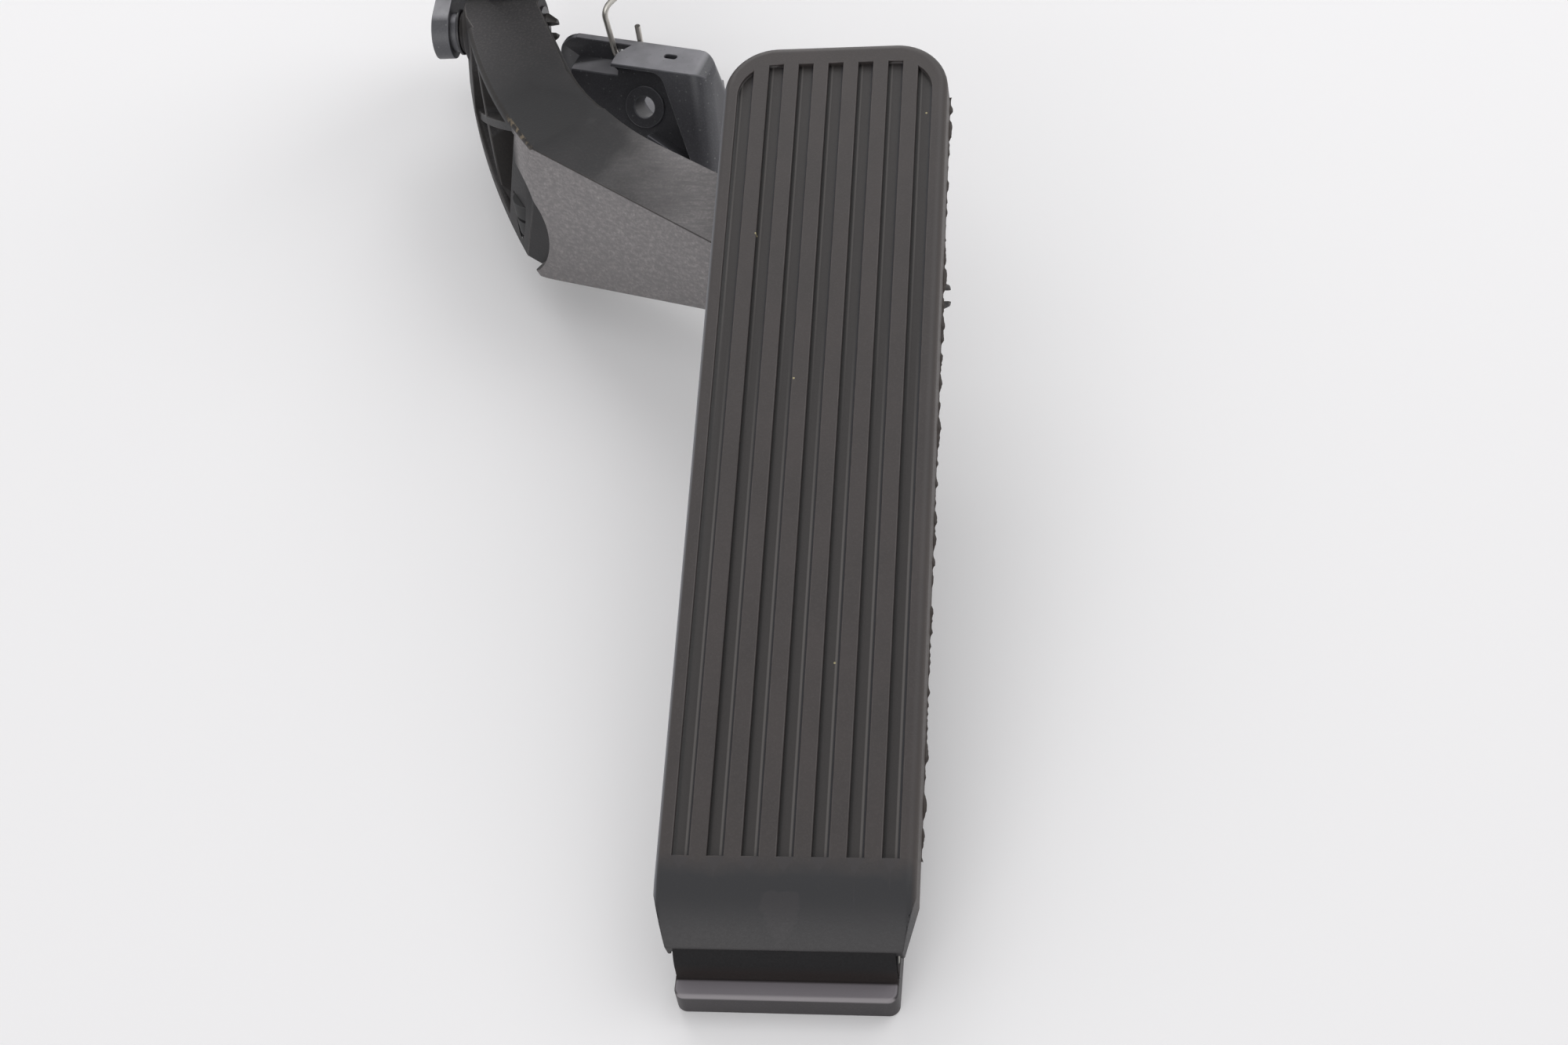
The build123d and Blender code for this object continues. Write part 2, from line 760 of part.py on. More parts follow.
tail_end_y = pivot_y + tail_back
tail_end_z = pivot_z + tail_height
with BuildPart() as cable_eye:
    tail_face = tail_x + tail_thickness
    eye_rim = eye_radius + eye_flange
    points = [(tail_x, cable_bore / 2), (tail_x, eye_radius), (tail_face, eye_radius)]
    points += [(tail_face, eye_rim), (tail_face + eye_flange, eye_rim)]
    add(turned(points + [(tail_face + eye_flange, cable_bore / 2)], tail_end_y, tail_end_z))
save(cable_eye.part, "cable_eye")


def tail_edge(z, side):
    """Y of the tail's back edge (side 1) or front edge (side -1) at height z."""
    run = tail_back - tail_root_back
    lean = atan2(run, tail_height)
    taper = asin((tail_root_radius - tail_end_radius) / hypot(run, tail_height))
    normal_y = side * cos(lean) * cos(taper) + sin(lean) * sin(taper)
    normal_z = -side * sin(lean) * cos(taper) + cos(lean) * sin(taper)
    return pivot_y + tail_root_back + (tail_root_radius - normal_z * (z - pivot_z)) / normal_y


# Lug: its directions in plan and its faces, from its back left corner
lug_x = arm_left + lug_offset
lug_y = pivot_y + lug_setback
lug_angle = radians(lug_turn)
lean = radians(lug_lean)
lug_along = Vector(cos(lug_angle), -sin(lug_angle))
lug_back = Vector(sin(lug_angle), cos(lug_angle))
lug_origin = Vector(lug_x, lug_y)
lug_out = Vector(-lug_back.X * cos(lean), -lug_back.Y * cos(lean), sin(lean))
lug_side = Plane(origin=(lug_x, lug_y, 0), x_dir=tuple(lug_back), z_dir=tuple(lug_along))
lug_rear = Plane(origin=(lug_x, lug_y, 0), x_dir=tuple(lug_along), z_dir=tuple(-lug_back))
hook_z = shelf_height + wire_diameter / 2 + spring_seat_gap


def lug_point(u, v, z):
    """Point of the lug: u along it, v behind its back face and z above the floor."""
    spot = lug_origin + lug_along * u + lug_back * v
    return Vector(spot.X, spot.Y, z)


def lug_front(z):
    """Depth of the lug's slanted front face at height z."""
    return -lug_top_depth - (lug_height - z) * tan(lean)


def down_slant(u, z):
    """Place on the lug's slanted front, from its top left corner, of the point at u and height z."""
    return (u, (z - lug_height) / cos(lean))


with BuildPart() as lug:
    flare_run = lug_height * tan(radians(lug_flare))
    with BuildSketch(lug_side):
        with BuildLine():
            Polyline((0, 0), (0, lug_height), (-lug_top_depth, lug_height), (lug_front(0), 0), close=True)
        make_face()
    extrude(amount=lug_length + flare_run)
    # Right end leans out towards the floor
    with BuildSketch(lug_rear):
        with BuildLine():
            Polyline(
                (0, 0), (0, lug_height), (lug_length, lug_height), (lug_length + flare_run, 0), close=True
            )
        make_face()
    extrude(amount=-lug_front(0), mode=Mode.INTERSECT)
    lug_end = lug.faces().sort_by(Axis(lug_point(0, 0, 0), lug_along))[-1]
    fillet(lug_end.edges().filter_by(lambda e: e.center().Z > base_thickness), lug_corner)
    # Back wall, which reaches past the left end
    with BuildSketch(lug_rear) as wall:
        with Locations((-wall_overhang, 0)):
            Rectangle(wall_overhang + shelf_length, lug_height, align=(Align.MIN, Align.MIN))
        fillet(wall.vertices().group_by(Axis.X)[0].sort_by(Axis.Y)[-1], wall_round)
    extrude(amount=lug_back_wall)
    # Recess in the slanted front, with a ledge across its lower right
    with BuildSketch(Plane(lug_point(0, lug_front(lug_height), lug_height), lug_along, lug_out)) as recess:
        with BuildLine():
            Polyline(
                down_slant(-overrun, lug_height - recess_top_wall),
                down_slant(recess_top_run, lug_height - recess_top_wall),
                down_slant(recess_low_run, recess_low_height),
                down_slant(ledge_along, ledge_height),
                down_slant(ledge_along, base_thickness),
                down_slant(-overrun, base_thickness),
                close=True,
            )
        make_face()
        corner_spot = down_slant(recess_top_run, lug_height - recess_top_wall)
        fillet(recess.vertices().sort_by_distance(corner_spot)[0], recess_corner)
    extrude(amount=-lug_recess, mode=Mode.SUBTRACT)
    # Shelf at the left end, with a notch behind the top for the spring's wire
    with BuildSketch(Plane(lug_point(0, 0, shelf_height), lug_along, (0, 0, 1))):
        with BuildLine():
            Polyline(
                (-overrun, -lug_back_wall),
                (shelf_length + shelf_notch, -lug_back_wall),
                (shelf_length, -shelf_notch_depth),
                (shelf_length, lug_front(0)),
                (-overrun, lug_front(0)),
                close=True,
            )
        make_face()
    extrude(amount=lug_height, mode=Mode.SUBTRACT)
    # Slot through the back wall for the hook of the spring
    with BuildSketch(lug_rear):
        with Locations((spring_leg_foot, shelf_height)):
            slot_length = spring_stub_along + wire_diameter - spring_leg_foot
            Rectangle(slot_length, hook_slot_height, align=(Align.MIN, Align.MIN))
    extrude(amount=lug_back_wall, mode=Mode.SUBTRACT)
    # Bolt boss, bolt hole and nut pocket, square to the slanted front
    hole_height = lug_height - lug_hole_drop
    hole_spot = lug_point(lug_hole_along, lug_front(hole_height) + lug_recess / cos(lean), hole_height)
    hole_plane = Plane(hole_spot, lug_along, lug_out)
    with BuildSketch(hole_plane):
        Circle(lug_boss_radius)
    extrude(amount=lug_boss_height)
    with BuildSketch(hole_plane.offset(lug_boss_height)):
        Circle(lug_hole_diameter / 2)
    extrude(amount=-lug_bolt_length, mode=Mode.SUBTRACT)
    with BuildSketch(hole_plane.offset(lug_boss_height - lug_bolt_length)):
        Circle(nut_pocket_radius)
    extrude(amount=-nut_pocket_run, mode=Mode.SUBTRACT)
    # Small blind slot in the top
    slot_spot = lug_point(lug_slot_along, -lug_slot_setback, lug_height)
    with BuildSketch(Plane(slot_spot, lug_along, (0, 0, 1))):
        SlotOverall(lug_slot_length, lug_slot_width)
    extrude(amount=-lug_slot_depth, mode=Mode.SUBTRACT)

# Bracket: places of its walls, bolts, stop and spring
flange_y = pivot_y + flange_setback
flange_left = arm_left - flange_overhang
flange_top = tail_end_z + flange_headroom
flange_front = Plane(origin=(0, flange_y, 0), x_dir=(1, 0, 0), z_dir=(0, -1, 0))
flange_middle = (flange_left + flange_width / 2, (flange_bottom + flange_top) / 2)
flange_height = flange_top - flange_bottom
flange_back = flange_y + flange_thickness
bolt_spots = [
    (flange_left + bolt_inset, flange_top - bolt_inset),
    (flange_left + flange_width - bolt_inset, flange_top - bolt_inset),
    (flange_left + low_bolt_inset, flange_bottom + low_bolt_rise),
]
sleeve_radius = bolt_diameter / 2 + sleeve_wall
tail_middle = tail_x + tail_thickness / 2
stop_z = pivot_z + stop_rise
stop_face = tail_edge(stop_z + stop_radius - stop_dome, 1) + stop_gap
stop_back = stop_face + stop_length
stop_seat = Plane(origin=(tail_middle, stop_back, stop_z), x_dir=(1, 0, 0), z_dir=(0, -1, 0))

# Coil of the return spring: entry and exit angles where its straight legs leave the circle
coil_y = pivot_y + coil_setback
coil_z = pivot_z + coil_rise
coil_right = lug_x + coil_offset
spring_reach_z = pivot_z + spring_reach
leg_top = lug_point(spring_leg_top, -spring_leg_depth, spring_leg_height)
leg_hook_y = tail_edge(spring_reach_z, -1) - wire_diameter / 2 - spring_seat_gap
entry_y = leg_top.Y - coil_y
entry_z = leg_top.Z - coil_z
entry_turn = atan2(-entry_z, -entry_y) - asin(coil_radius / hypot(entry_y, entry_z))
entry_angle = entry_turn - radians(90)
exit_y = leg_hook_y - coil_y
exit_z = spring_reach_z - coil_z
exit_angle = atan2(exit_z, exit_y) - acos(coil_radius / hypot(exit_y, exit_z))
coil_sweep = coil_turns - 1 + (exit_angle - entry_angle) / radians(360)
coil_length = coil_sweep * coil_pitch
coil_left = coil_right - coil_length
spool_right = coil_right + wire_diameter / 2 + spring_seat_gap + spool_flange
spool_left = coil_left - wire_diameter - spring_seat_gap
cheek_face = spool_right + spring_seat_gap / 2
peg_end = spool_left - peg_reach

with BuildPart() as bracket:
    # Bulkhead flange with a rim round its edge
    with BuildSketch(flange_front):
        with Locations(flange_middle):
            RectangleRounded(flange_width, flange_height, flange_corner)
    extrude(amount=-flange_thickness)
    with BuildSketch(flange_front):
        with Locations(flange_middle):
            RectangleRounded(flange_width, flange_height, flange_corner)
            RectangleRounded(
                flange_width - 2 * flange_rim_wall,
                flange_height - 2 * flange_rim_wall,
                flange_corner - flange_rim_wall,
                mode=Mode.SUBTRACT,
            )
    extrude(amount=flange_rim)
    # Ear for the pivot pin, with its boss
    with BuildSketch(Plane.YZ.offset(ear_left)):
        with Locations((pivot_y, pivot_z)):
            Circle(ear_end_radius)
        with Locations((flange_y, pivot_z)):
            Rectangle(flange_thickness, ear_root_height, align=(Align.MIN, Align.CENTER))
        make_hull()
    extrude(amount=ear_thickness)
    with BuildSketch(Plane.YZ.offset(ear_right)):
        with Locations((pivot_y, pivot_z)):
            Circle(ear_boss_radius)
    extrude(amount=ear_boss_length)
    # Cheek and peg for the return spring
    with BuildSketch(Plane.YZ.offset(cheek_face)):
        with Locations((coil_y, coil_z)):
            Circle(peg_cheek_radius)
        with Locations((flange_y, coil_z)):
            Rectangle(flange_thickness, cheek_root_height, align=(Align.MIN, Align.CENTER))
        make_hull()
    extrude(amount=peg_cheek)
    with BuildSketch(Plane.YZ.offset(cheek_face)):
        with Locations((coil_y, coil_z)):
            Circle(peg_radius)
    extrude(amount=peg_end - cheek_face)
    # Boss behind the idle stop
    with BuildSketch(flange_front):
        with Locations((tail_middle, stop_z)):
            Circle(stop_radius)
    extrude(amount=flange_y - stop_back)
    # Post from the flange down to the base, and the base under the arm
    post_left = arm_left - post_outset
    post_front = pivot_y + post_setback
    with BuildSketch(Plane.YZ.offset(post_left)):
        with BuildLine():
            Polyline(
                (post_front, 0),
                (post_front + post_foot_depth, 0),
                (flange_back, flange_bottom),
                (flange_back, post_shoulder),
                (flange_y, post_shoulder),
                (post_front, flange_bottom),
                close=True,
            )
        make_face()
    extrude(amount=post_thickness)
    with BuildSketch(Plane.XY):
        with Locations((post_left, pivot_y - base_lead)):
            Rectangle(base_width, base_depth, align=(Align.MIN, Align.MIN))
    extrude(amount=base_thickness)
    add(lug.part)
    # Holes for the pivot pin, bolt sleeves, cable grommet and idle stop
    with BuildSketch(Plane.YZ.offset(ear_left)):
        with Locations((pivot_y, pivot_z)):
            Circle(pivot_radius + press_clearance)
    extrude(amount=ear_face - ear_left, mode=Mode.SUBTRACT)
    with BuildSketch(Plane.YZ.offset(ear_left)):
        with Locations((pivot_y, pivot_z)):
            Circle(pin_head_radius + press_clearance)
    extrude(amount=pin_head, mode=Mode.SUBTRACT)
    with BuildSketch(flange_front):
        with Locations(*bolt_spots):
            Circle(sleeve_radius + press_clearance)
        with Locations((tail_middle, tail_end_z)):
            Circle(grommet_radius + press_clearance)
    extrude(amount=-flange_thickness, mode=Mode.SUBTRACT)
    with BuildSketch(stop_seat):
        Circle(stop_stem_radius + press_clearance)
    extrude(amount=-stop_stem_length, mode=Mode.SUBTRACT)
save(bracket.part, "bracket")

with BuildPart() as bolt_sleeves:
    with BuildSketch(flange_front):
        with Locations(*bolt_spots):
            Circle(sleeve_radius)
            Circle(bolt_diameter / 2, mode=Mode.SUBTRACT)
    extrude(amount=-flange_thickness)
save(bolt_sleeves.part, "bolt_sleeves")

with BuildPart() as idle_stop:
    with BuildSketch(stop_seat):
        Circle(stop_radius)
    extrude(amount=stop_length)
    chamfer(idle_stop.edges().group_by(Axis.Y)[0], stop_dome)
    with BuildSketch(stop_seat):
        Circle(stop_stem_radius)
    extrude(amount=-stop_stem_length)
save(idle_stop.part, "idle_stop")

with BuildPart() as cable_grommet:
    grommet_spot = Plane(origin=(tail_middle, flange_back, tail_end_z), x_dir=(1, 0, 0), z_dir=(0, -1, 0))
    with BuildSketch(grommet_spot):
        Circle(grommet_radius)
    extrude(amount=flange_thickness)
    with BuildSketch(grommet_spot.offset(flange_thickness)):
        Circle(grommet_radius + grommet_lip)
    extrude(amount=grommet_lip_width)
    with BuildSketch(grommet_spot):
        Circle(grommet_bore / 2)
    extrude(amount=flange_thickness + grommet_lip_width, mode=Mode.SUBTRACT)
save(cable_grommet.part, "cable_grommet")

# Return spring and what carries it


def rounded_route(points, radius):
    """Straight runs through the points, with every corner turned on an arc."""
    start = points[0]
    for before, corner, after in zip(points, points[1:], points[2:]):
        back = (before - corner).normalized()
        ahead = (after - corner).normalized()
        half = acos(back.dot(ahead)) / 2
        turn_in = corner + back * (radius / tan(half))
        turn_out = corner + ahead * (radius / tan(half))
        middle = corner + (back + ahead).normalized() * (radius / sin(half) - radius)
        Line(start, turn_in)
        ThreePointArc(turn_in, middle, turn_out)
        start = turn_out
    Line(start, points[-1])


coil_spot = Plane(
    origin=(coil_right, coil_y, coil_z), x_dir=(0, cos(entry_angle), sin(entry_angle)), z_dir=(-1, 0, 0)
)
coil_path = coil_spot * Helix(coil_pitch, coil_length, coil_radius, lefthand=True)
stub_v = wire_diameter / 2 + spring_seat_gap
anchor_points = [
    lug_point(spring_stub_along, stub_v, lug_height + spring_stub_rise),
    lug_point(spring_stub_along, stub_v, hook_z),
    lug_point(spring_leg_foot, -spring_leg_depth, hook_z),
    leg_top,
    coil_path @ 0 - (coil_path % 0) * coil_approach,
    coil_path @ 0,
]
push_run = (leg_hook_y - (coil_path @ 1).Y) / (coil_path % 1).Y
push_corner = coil_path @ 1 + (coil_path % 1) * push_run
push_points = [
    coil_path @ 1,
    push_corner,
    Vector(tail_x - spring_hook_end, push_corner.Y, push_corner.Z),
]

with BuildPart() as return_spring:
    for points in (anchor_points, push_points):
        with BuildLine() as leg:
            rounded_route(points, wire_bend)
        with BuildSketch(Plane(origin=points[0], z_dir=points[1] - points[0])):
            RegularPolygon(wire_diameter / 2, wire_sides)
        sweep(path=leg.wires()[0])
    with BuildSketch(Plane(origin=coil_path @ 0, z_dir=coil_path % 0)):
        RegularPolygon(wire_diameter / 2, wire_sides)
    sweep(path=coil_path, is_frenet=True)
save(return_spring.part, "return_spring")

with BuildPart() as spring_spool:
    bore = peg_radius + running_fit
    barrel = peg_radius + spool_wall
    points = [(spool_right, bore), (spool_right, spool_flange_radius)]
    points += [(spool_right - spool_flange, spool_flange_radius), (spool_right - spool_flange, barrel)]
    add(turned(points + [(spool_left, barrel), (spool_left, bore)], coil_y, coil_z))
save(spring_spool.part, "spring_spool")

with BuildPart() as push_nut:
    bore = peg_radius + press_clearance
    outer = spool_left - running_fit
    points = [(outer, bore), (outer, push_nut_radius)]
    points += [(outer - push_nut_wall, push_nut_radius), (outer - push_nut_wall, bore)]
    add(turned(points, coil_y, coil_z))
save(push_nut.part, "push_nut")
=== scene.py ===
"""Floor-hinged accelerator pedal: finishes, fine forms, floor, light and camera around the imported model.

Metres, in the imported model's frame: X across the pedal, Y towards the bulkhead, Z up from the floor.
"""

import json
from math import cos, pi, radians, sin

import bmesh
import bpy
from mathutils import Matrix, Vector


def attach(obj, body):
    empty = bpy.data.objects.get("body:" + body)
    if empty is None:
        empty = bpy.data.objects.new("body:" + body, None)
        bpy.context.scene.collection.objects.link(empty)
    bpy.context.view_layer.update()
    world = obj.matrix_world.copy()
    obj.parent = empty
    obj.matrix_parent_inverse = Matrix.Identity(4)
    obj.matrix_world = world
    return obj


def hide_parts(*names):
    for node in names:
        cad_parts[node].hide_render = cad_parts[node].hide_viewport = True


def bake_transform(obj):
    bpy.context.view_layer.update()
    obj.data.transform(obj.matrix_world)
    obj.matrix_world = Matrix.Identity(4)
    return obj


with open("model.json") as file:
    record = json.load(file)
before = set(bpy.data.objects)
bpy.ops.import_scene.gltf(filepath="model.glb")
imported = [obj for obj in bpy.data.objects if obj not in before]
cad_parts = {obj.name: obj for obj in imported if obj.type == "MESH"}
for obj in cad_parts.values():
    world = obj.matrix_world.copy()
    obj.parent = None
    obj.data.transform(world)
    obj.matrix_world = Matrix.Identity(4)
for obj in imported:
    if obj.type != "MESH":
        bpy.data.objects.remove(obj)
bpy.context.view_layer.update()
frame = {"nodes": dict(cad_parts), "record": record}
scene = bpy.context.scene
MM = 0.001

# Camera: place, aim and focal length of the photograph
photo_width = 2000
focal_pixels = 3100
sensor_width = 36.0
camera_place = Vector((84.0, -294.4, 502.0)) * MM
camera_yaw = radians(-12.79)
camera_pitch = radians(48.24)
camera_roll = radians(9.95)

# Tread of the plate, along its slope and square to it from the hinge axis
plate_slope = radians(14.0)
hinge = Vector((0.0, 0.0, 10.0)) * MM
tread_height = 13.25 * MM
skirt_floor = 2.25 * MM
plate_half = 31.0 * MM
groove_depth = 1.6 * MM
groove_start = 19.2 * MM
groove_end = 249.2 * MM
groove_pitch = 8.3 * MM
toe_edge = Vector((0.0, -10.35, 6.75)) * MM

# Arm: its knee, the way its front wall runs from there, and the round dent in that wall
knee = Vector((-90.8, 234.0, 0.0)) * MM
wall_run = Vector((0.883, -0.469, 0.0))
wall_out = Vector((-0.469, -0.883, 0.0))
dent_radius = 17.8 * MM
dent_inset = 14.5 * MM
dent_height = 29.5 * MM
arm_top = 60.0 * MM
shade_centre = Vector((-89.0, 248.0, 60.0)) * MM
scuffed = Vector((-93.5, 243.0, 60.0)) * MM
hub_edge = 296.0 * MM

# Turns between faces: flat enough to merge, sharp enough for a radius, and too sharp to shade smooth
flat_turn = radians(0.5)
edge_turn = radians(28)
shade_turn = radians(50)

bodies = frame["record"]["behaviour"]["bodies"]
body_of = {node: body for body, nodes in bodies.items() for node in nodes}
slot_of = {row["node"]: row["material_slot"] for row in frame["record"]["subparts"]}


def add_node(tree, kind, sockets=None, **settings):
    """Adds a node, sets its properties, and fills its sockets with values, sockets or nodes' outputs."""
    made = tree.nodes.new(kind)
    for name, value in settings.items():
        setattr(made, name, value)
    for socket, value in (sockets or {}).items():
        if isinstance(value, bpy.types.Node):
            value = next(output for output in value.outputs if output.enabled)
        if isinstance(value, bpy.types.NodeSocket):
            tree.links.new(value, made.inputs[socket])
        else:
            made.inputs[socket].default_value = value
    return made


def linear(code):
    """Linear colour of an sRGB hex value."""
    parts = [int(code[i:i + 2], 16) / 255 for i in (0, 2, 4)]
    return [p / 12.92 if p <= 0.04045 else ((p + 0.055) / 1.055) ** 2.4 for p in parts] + [1.0]


# Materials. Map Range takes its value at 0, the range it comes from at 1 and 2, and the range it goes to at
# 3 and 4. A colour Mix takes its share at 0 and its two colours at 6 and 7.


def blank_material(name):
    """Node tree with one shader, ready for its layers."""
    material = bpy.data.materials.new(name)
    material.use_nodes = True
    tree = material.node_tree
    tree.nodes.clear()
    shader = add_node(tree, "ShaderNodeBsdfPrincipled")
    add_node(tree, "ShaderNodeOutputMaterial", {"Surface": shader})
    return material, tree, shader


def moulded(name, skin, tone, pale_mark, grain, depth, gloss, place_of=None):
    """Moulded plastic: two close tones in soft clouds, the mould's fine grain, and edges made paler by wear
    and a painted highlight.
    """
    material, tree, shader = blank_material(name)
    place = add_node(tree, "ShaderNodeTexCoord").outputs["Object"]
    if place_of:
        place = place_of(tree, place)
    drift = add_node(tree, "ShaderNodeTexNoise", {"Vector": place, "Scale": 1 / (18 * MM), "Detail": 5.0})
    share = add_node(tree, "ShaderNodeMapRange", {0: drift, 1: 0.35, 2: 0.65})
    colour = add_node(tree, "ShaderNodeMix", {0: share, 6: linear(skin), 7: linear(tone)}, data_type="RGBA")
    pores = add_node(tree, "ShaderNodeTexNoise", {"Vector": place, "Scale": 1 / grain, "Detail": 2.0})
    fleck = add_node(tree, "ShaderNodeMapRange", {0: pores, 1: 0.45, 2: 0.75, 4: 0.3})
    colour = add_node(tree, "ShaderNodeMix", {0: fleck, 6: colour, 7: linear(pale_mark)}, data_type="RGBA")
    # Pale edges: rubbed by wear, with a painted highlight on the small radii
    edge = add_node(tree, "ShaderNodeAttribute", attribute_name="worn_and_lit_edge").outputs["Fac"]
    broken = add_node(tree, "ShaderNodeTexNoise", {"Vector": place, "Scale": 1 / (7 * MM), "Detail": 4.0})
    broken = add_node(tree, "ShaderNodeMapRange", {0: broken, 1: 0.35, 2: 0.6, 3: 0.25, 4: 0.9})
    wear_and_highlight = add_node(tree, "ShaderNodeMath", {0: edge, 1: broken}, operation="MULTIPLY")
    colour = add_node(tree, "ShaderNodeMix", {0: wear_and_highlight, 6: colour, 7: linear(pale_mark)}, data_type="RGBA")
    shader.inputs["IOR"].default_value = 1.53
    matt = add_node(tree, "ShaderNodeMapRange", {0: pores, 1: 0.3, 2: 0.7, 3: gloss - 0.05, 4: gloss + 0.05})
    tree.links.new(matt.outputs[0], shader.inputs["Roughness"])
    bump = add_node(tree, "ShaderNodeBump", {"Height": pores, "Distance": depth, "Strength": 1.0})
    tree.links.new(bump.outputs[0], shader.inputs["Normal"])
    tree.links.new(colour.outputs[2], shader.inputs["Base Color"])
    return material, tree, shader, place, colour


def on_tread(tree, place):
    """Object coordinates turned into the tread's own: across, along the slope and square to it."""
    turn = Matrix.Rotation(-plate_slope, 4, "X")
    sockets = {"Vector": place, "Location": -(turn @ hinge), "Rotation": (-plate_slope, 0, 0)}
    return add_node(tree, "ShaderNodeMapping", sockets).outputs[0]


def plate_nylon():
    """Black nylon off a satin mould: charcoal lands, dusty groove floors with painted shade along their
    walls, an apron darkened blue-black by painted shade, and a painted highlight on the left edge.
    """
    material, tree, shader, place, colour = moulded(
        "plate_nylon", "393332", "332e2d", "4e4948", 0.5 * MM, 0.02 * MM, 0.52, on_tread
    )
    across, along, height = add_node(tree, "ShaderNodeSeparateXYZ", {0: place}).outputs
    blur = add_node(tree, "ShaderNodeTexNoise", {"Vector": place, "Scale": 1 / (5 * MM), "Detail": 3.0})
    blur = add_node(tree, "ShaderNodeMapRange", {0: blur, 1: 0.2, 2: 0.8, 3: -1.2 * MM, 4: 1.2 * MM})

    # Grooves: browner floors, painted shade darkening the walls and the floor beside them, a pale line of
    # dust low on the right and high on the left
    middle = (groove_start + groove_end) / 2
    span = (groove_end - groove_start) / 2
    off = add_node(tree, "ShaderNodeMath", {0: along, 1: middle}, operation="SUBTRACT")
    off = add_node(tree, "ShaderNodeMath", {0: off}, operation="ABSOLUTE")
    field = add_node(tree, "ShaderNodeMapRange", {0: off, 1: span + 0.2 * MM, 2: span - 0.2 * MM})
    brink, bottom = tread_height - 0.3 * MM, tread_height - groove_depth
    sunk = add_node(tree, "ShaderNodeMapRange", {0: height, 1: brink, 2: bottom})
    low = add_node(tree, "ShaderNodeMath", {0: sunk, 1: field}, operation="MULTIPLY")
    colour = add_node(tree, "ShaderNodeMix", {0: low, 6: colour, 7: linear("2c2827")}, data_type="RGBA")
    half_pitch = groove_pitch / 2
    beside = add_node(tree, "ShaderNodeMath", {0: across, 1: half_pitch, 2: -half_pitch}, operation="WRAP")
    # Each line: place beside the groove's middle, reach, tint, share, and where along the plate it fades in
    lines = (
        (1.05, 0.4, "625e5c", 0.85, 165, 100), (-1.1, 0.35, "565250", 0.7, 130, 190),
        # The two dark lines are painted shade along the foot of each groove wall
        (1.8, 0.5, "101119", 0.95, 0, 1), (-1.8, 0.65, "151211", 0.95, 0, 1)
    )
    for place_of_line, reach, tint, share, faint, full in lines:
        gap = add_node(tree, "ShaderNodeMath", {0: beside, 1: place_of_line * MM}, operation="SUBTRACT")
        gap = add_node(tree, "ShaderNodeMath", {0: gap}, operation="ABSOLUTE")
        line = add_node(tree, "ShaderNodeMapRange", {0: gap, 1: reach * MM, 2: 0.4 * reach * MM, 4: share})
        line = add_node(tree, "ShaderNodeMath", {0: line, 1: low}, operation="MULTIPLY")
        fade = add_node(tree, "ShaderNodeMapRange", {0: along, 1: faint * MM, 2: full * MM})
        line = add_node(tree, "ShaderNodeMath", {0: line, 1: fade}, operation="MULTIPLY")
        colour = add_node(tree, "ShaderNodeMix", {0: line, 6: colour, 7: linear(tint)}, data_type="RGBA")

    # Apron: painted shade as a blue-black cloud under the grooves, paler towards the lip
    soft = add_node(tree, "ShaderNodeMath", {0: along, 1: blur}, operation="ADD")
    cloud = add_node(tree, "ShaderNodeMapRange", {0: soft, 1: 19.5 * MM, 2: 14 * MM, 4: 0.9})
    fade = add_node(tree, "ShaderNodeMapRange", {0: soft, 1: -1 * MM, 2: 9 * MM, 3: 0.7})
    cloud = add_node(tree, "ShaderNodeMath", {0: cloud, 1: fade}, operation="MULTIPLY")
    colour = add_node(tree, "ShaderNodeMix", {0: cloud, 6: colour, 7: linear("1c1d21")}, data_type="RGBA")

    # Worn marks: a wedge below the end of each groove, and a round-ended shield where the heel rubs
    side = add_node(tree, "ShaderNodeMath", {0: beside}, operation="ABSOLUTE")
    wide = add_node(tree, "ShaderNodeMapRange", {0: along, 1: 15 * MM, 2: 18.9 * MM, 4: 2.6 * MM})
    wide = add_node(tree, "ShaderNodeMath", {0: wide, 1: side}, operation="SUBTRACT")
    wide = add_node(tree, "ShaderNodeMath", {0: blur, 1: 0.4, 2: wide}, operation="MULTIPLY_ADD")
    wedge = add_node(tree, "ShaderNodeMapRange", {0: wide, 1: 0.0, 2: 0.5 * MM, 4: 0.6})
    heel_middle = Vector((-0.6, 9.2, 0.0)) * MM
    heel = add_node(tree, "ShaderNodeVectorMath", {0: place, 1: heel_middle}, operation="SUBTRACT")
    heel = add_node(tree, "ShaderNodeVectorMath", {0: heel, 1: (1.35, 0.75, 0.0)}, operation="MULTIPLY")
    heel = add_node(tree, "ShaderNodeVectorMath", {0: heel}, operation="LENGTH").outputs[1]
    heel = add_node(tree, "ShaderNodeMath", {0: blur, 1: 1.3, 2: heel}, operation="MULTIPLY_ADD")
    shield = add_node(tree, "ShaderNodeMapRange", {0: heel, 1: 6.8 * MM, 2: 5.6 * MM, 4: 0.5})
    for worn, top in ((wedge, 18.9), (shield, 10.6)):
        edge = add_node(tree, "ShaderNodeMapRange", {0: soft, 1: (top + 0.5) * MM, 2: top * MM})
        mark = add_node(tree, "ShaderNodeMath", {0: worn, 1: edge}, operation="MULTIPLY")
        colour = add_node(tree, "ShaderNodeMix", {0: mark, 6: colour, 7: linear("322f31")}, data_type="RGBA")
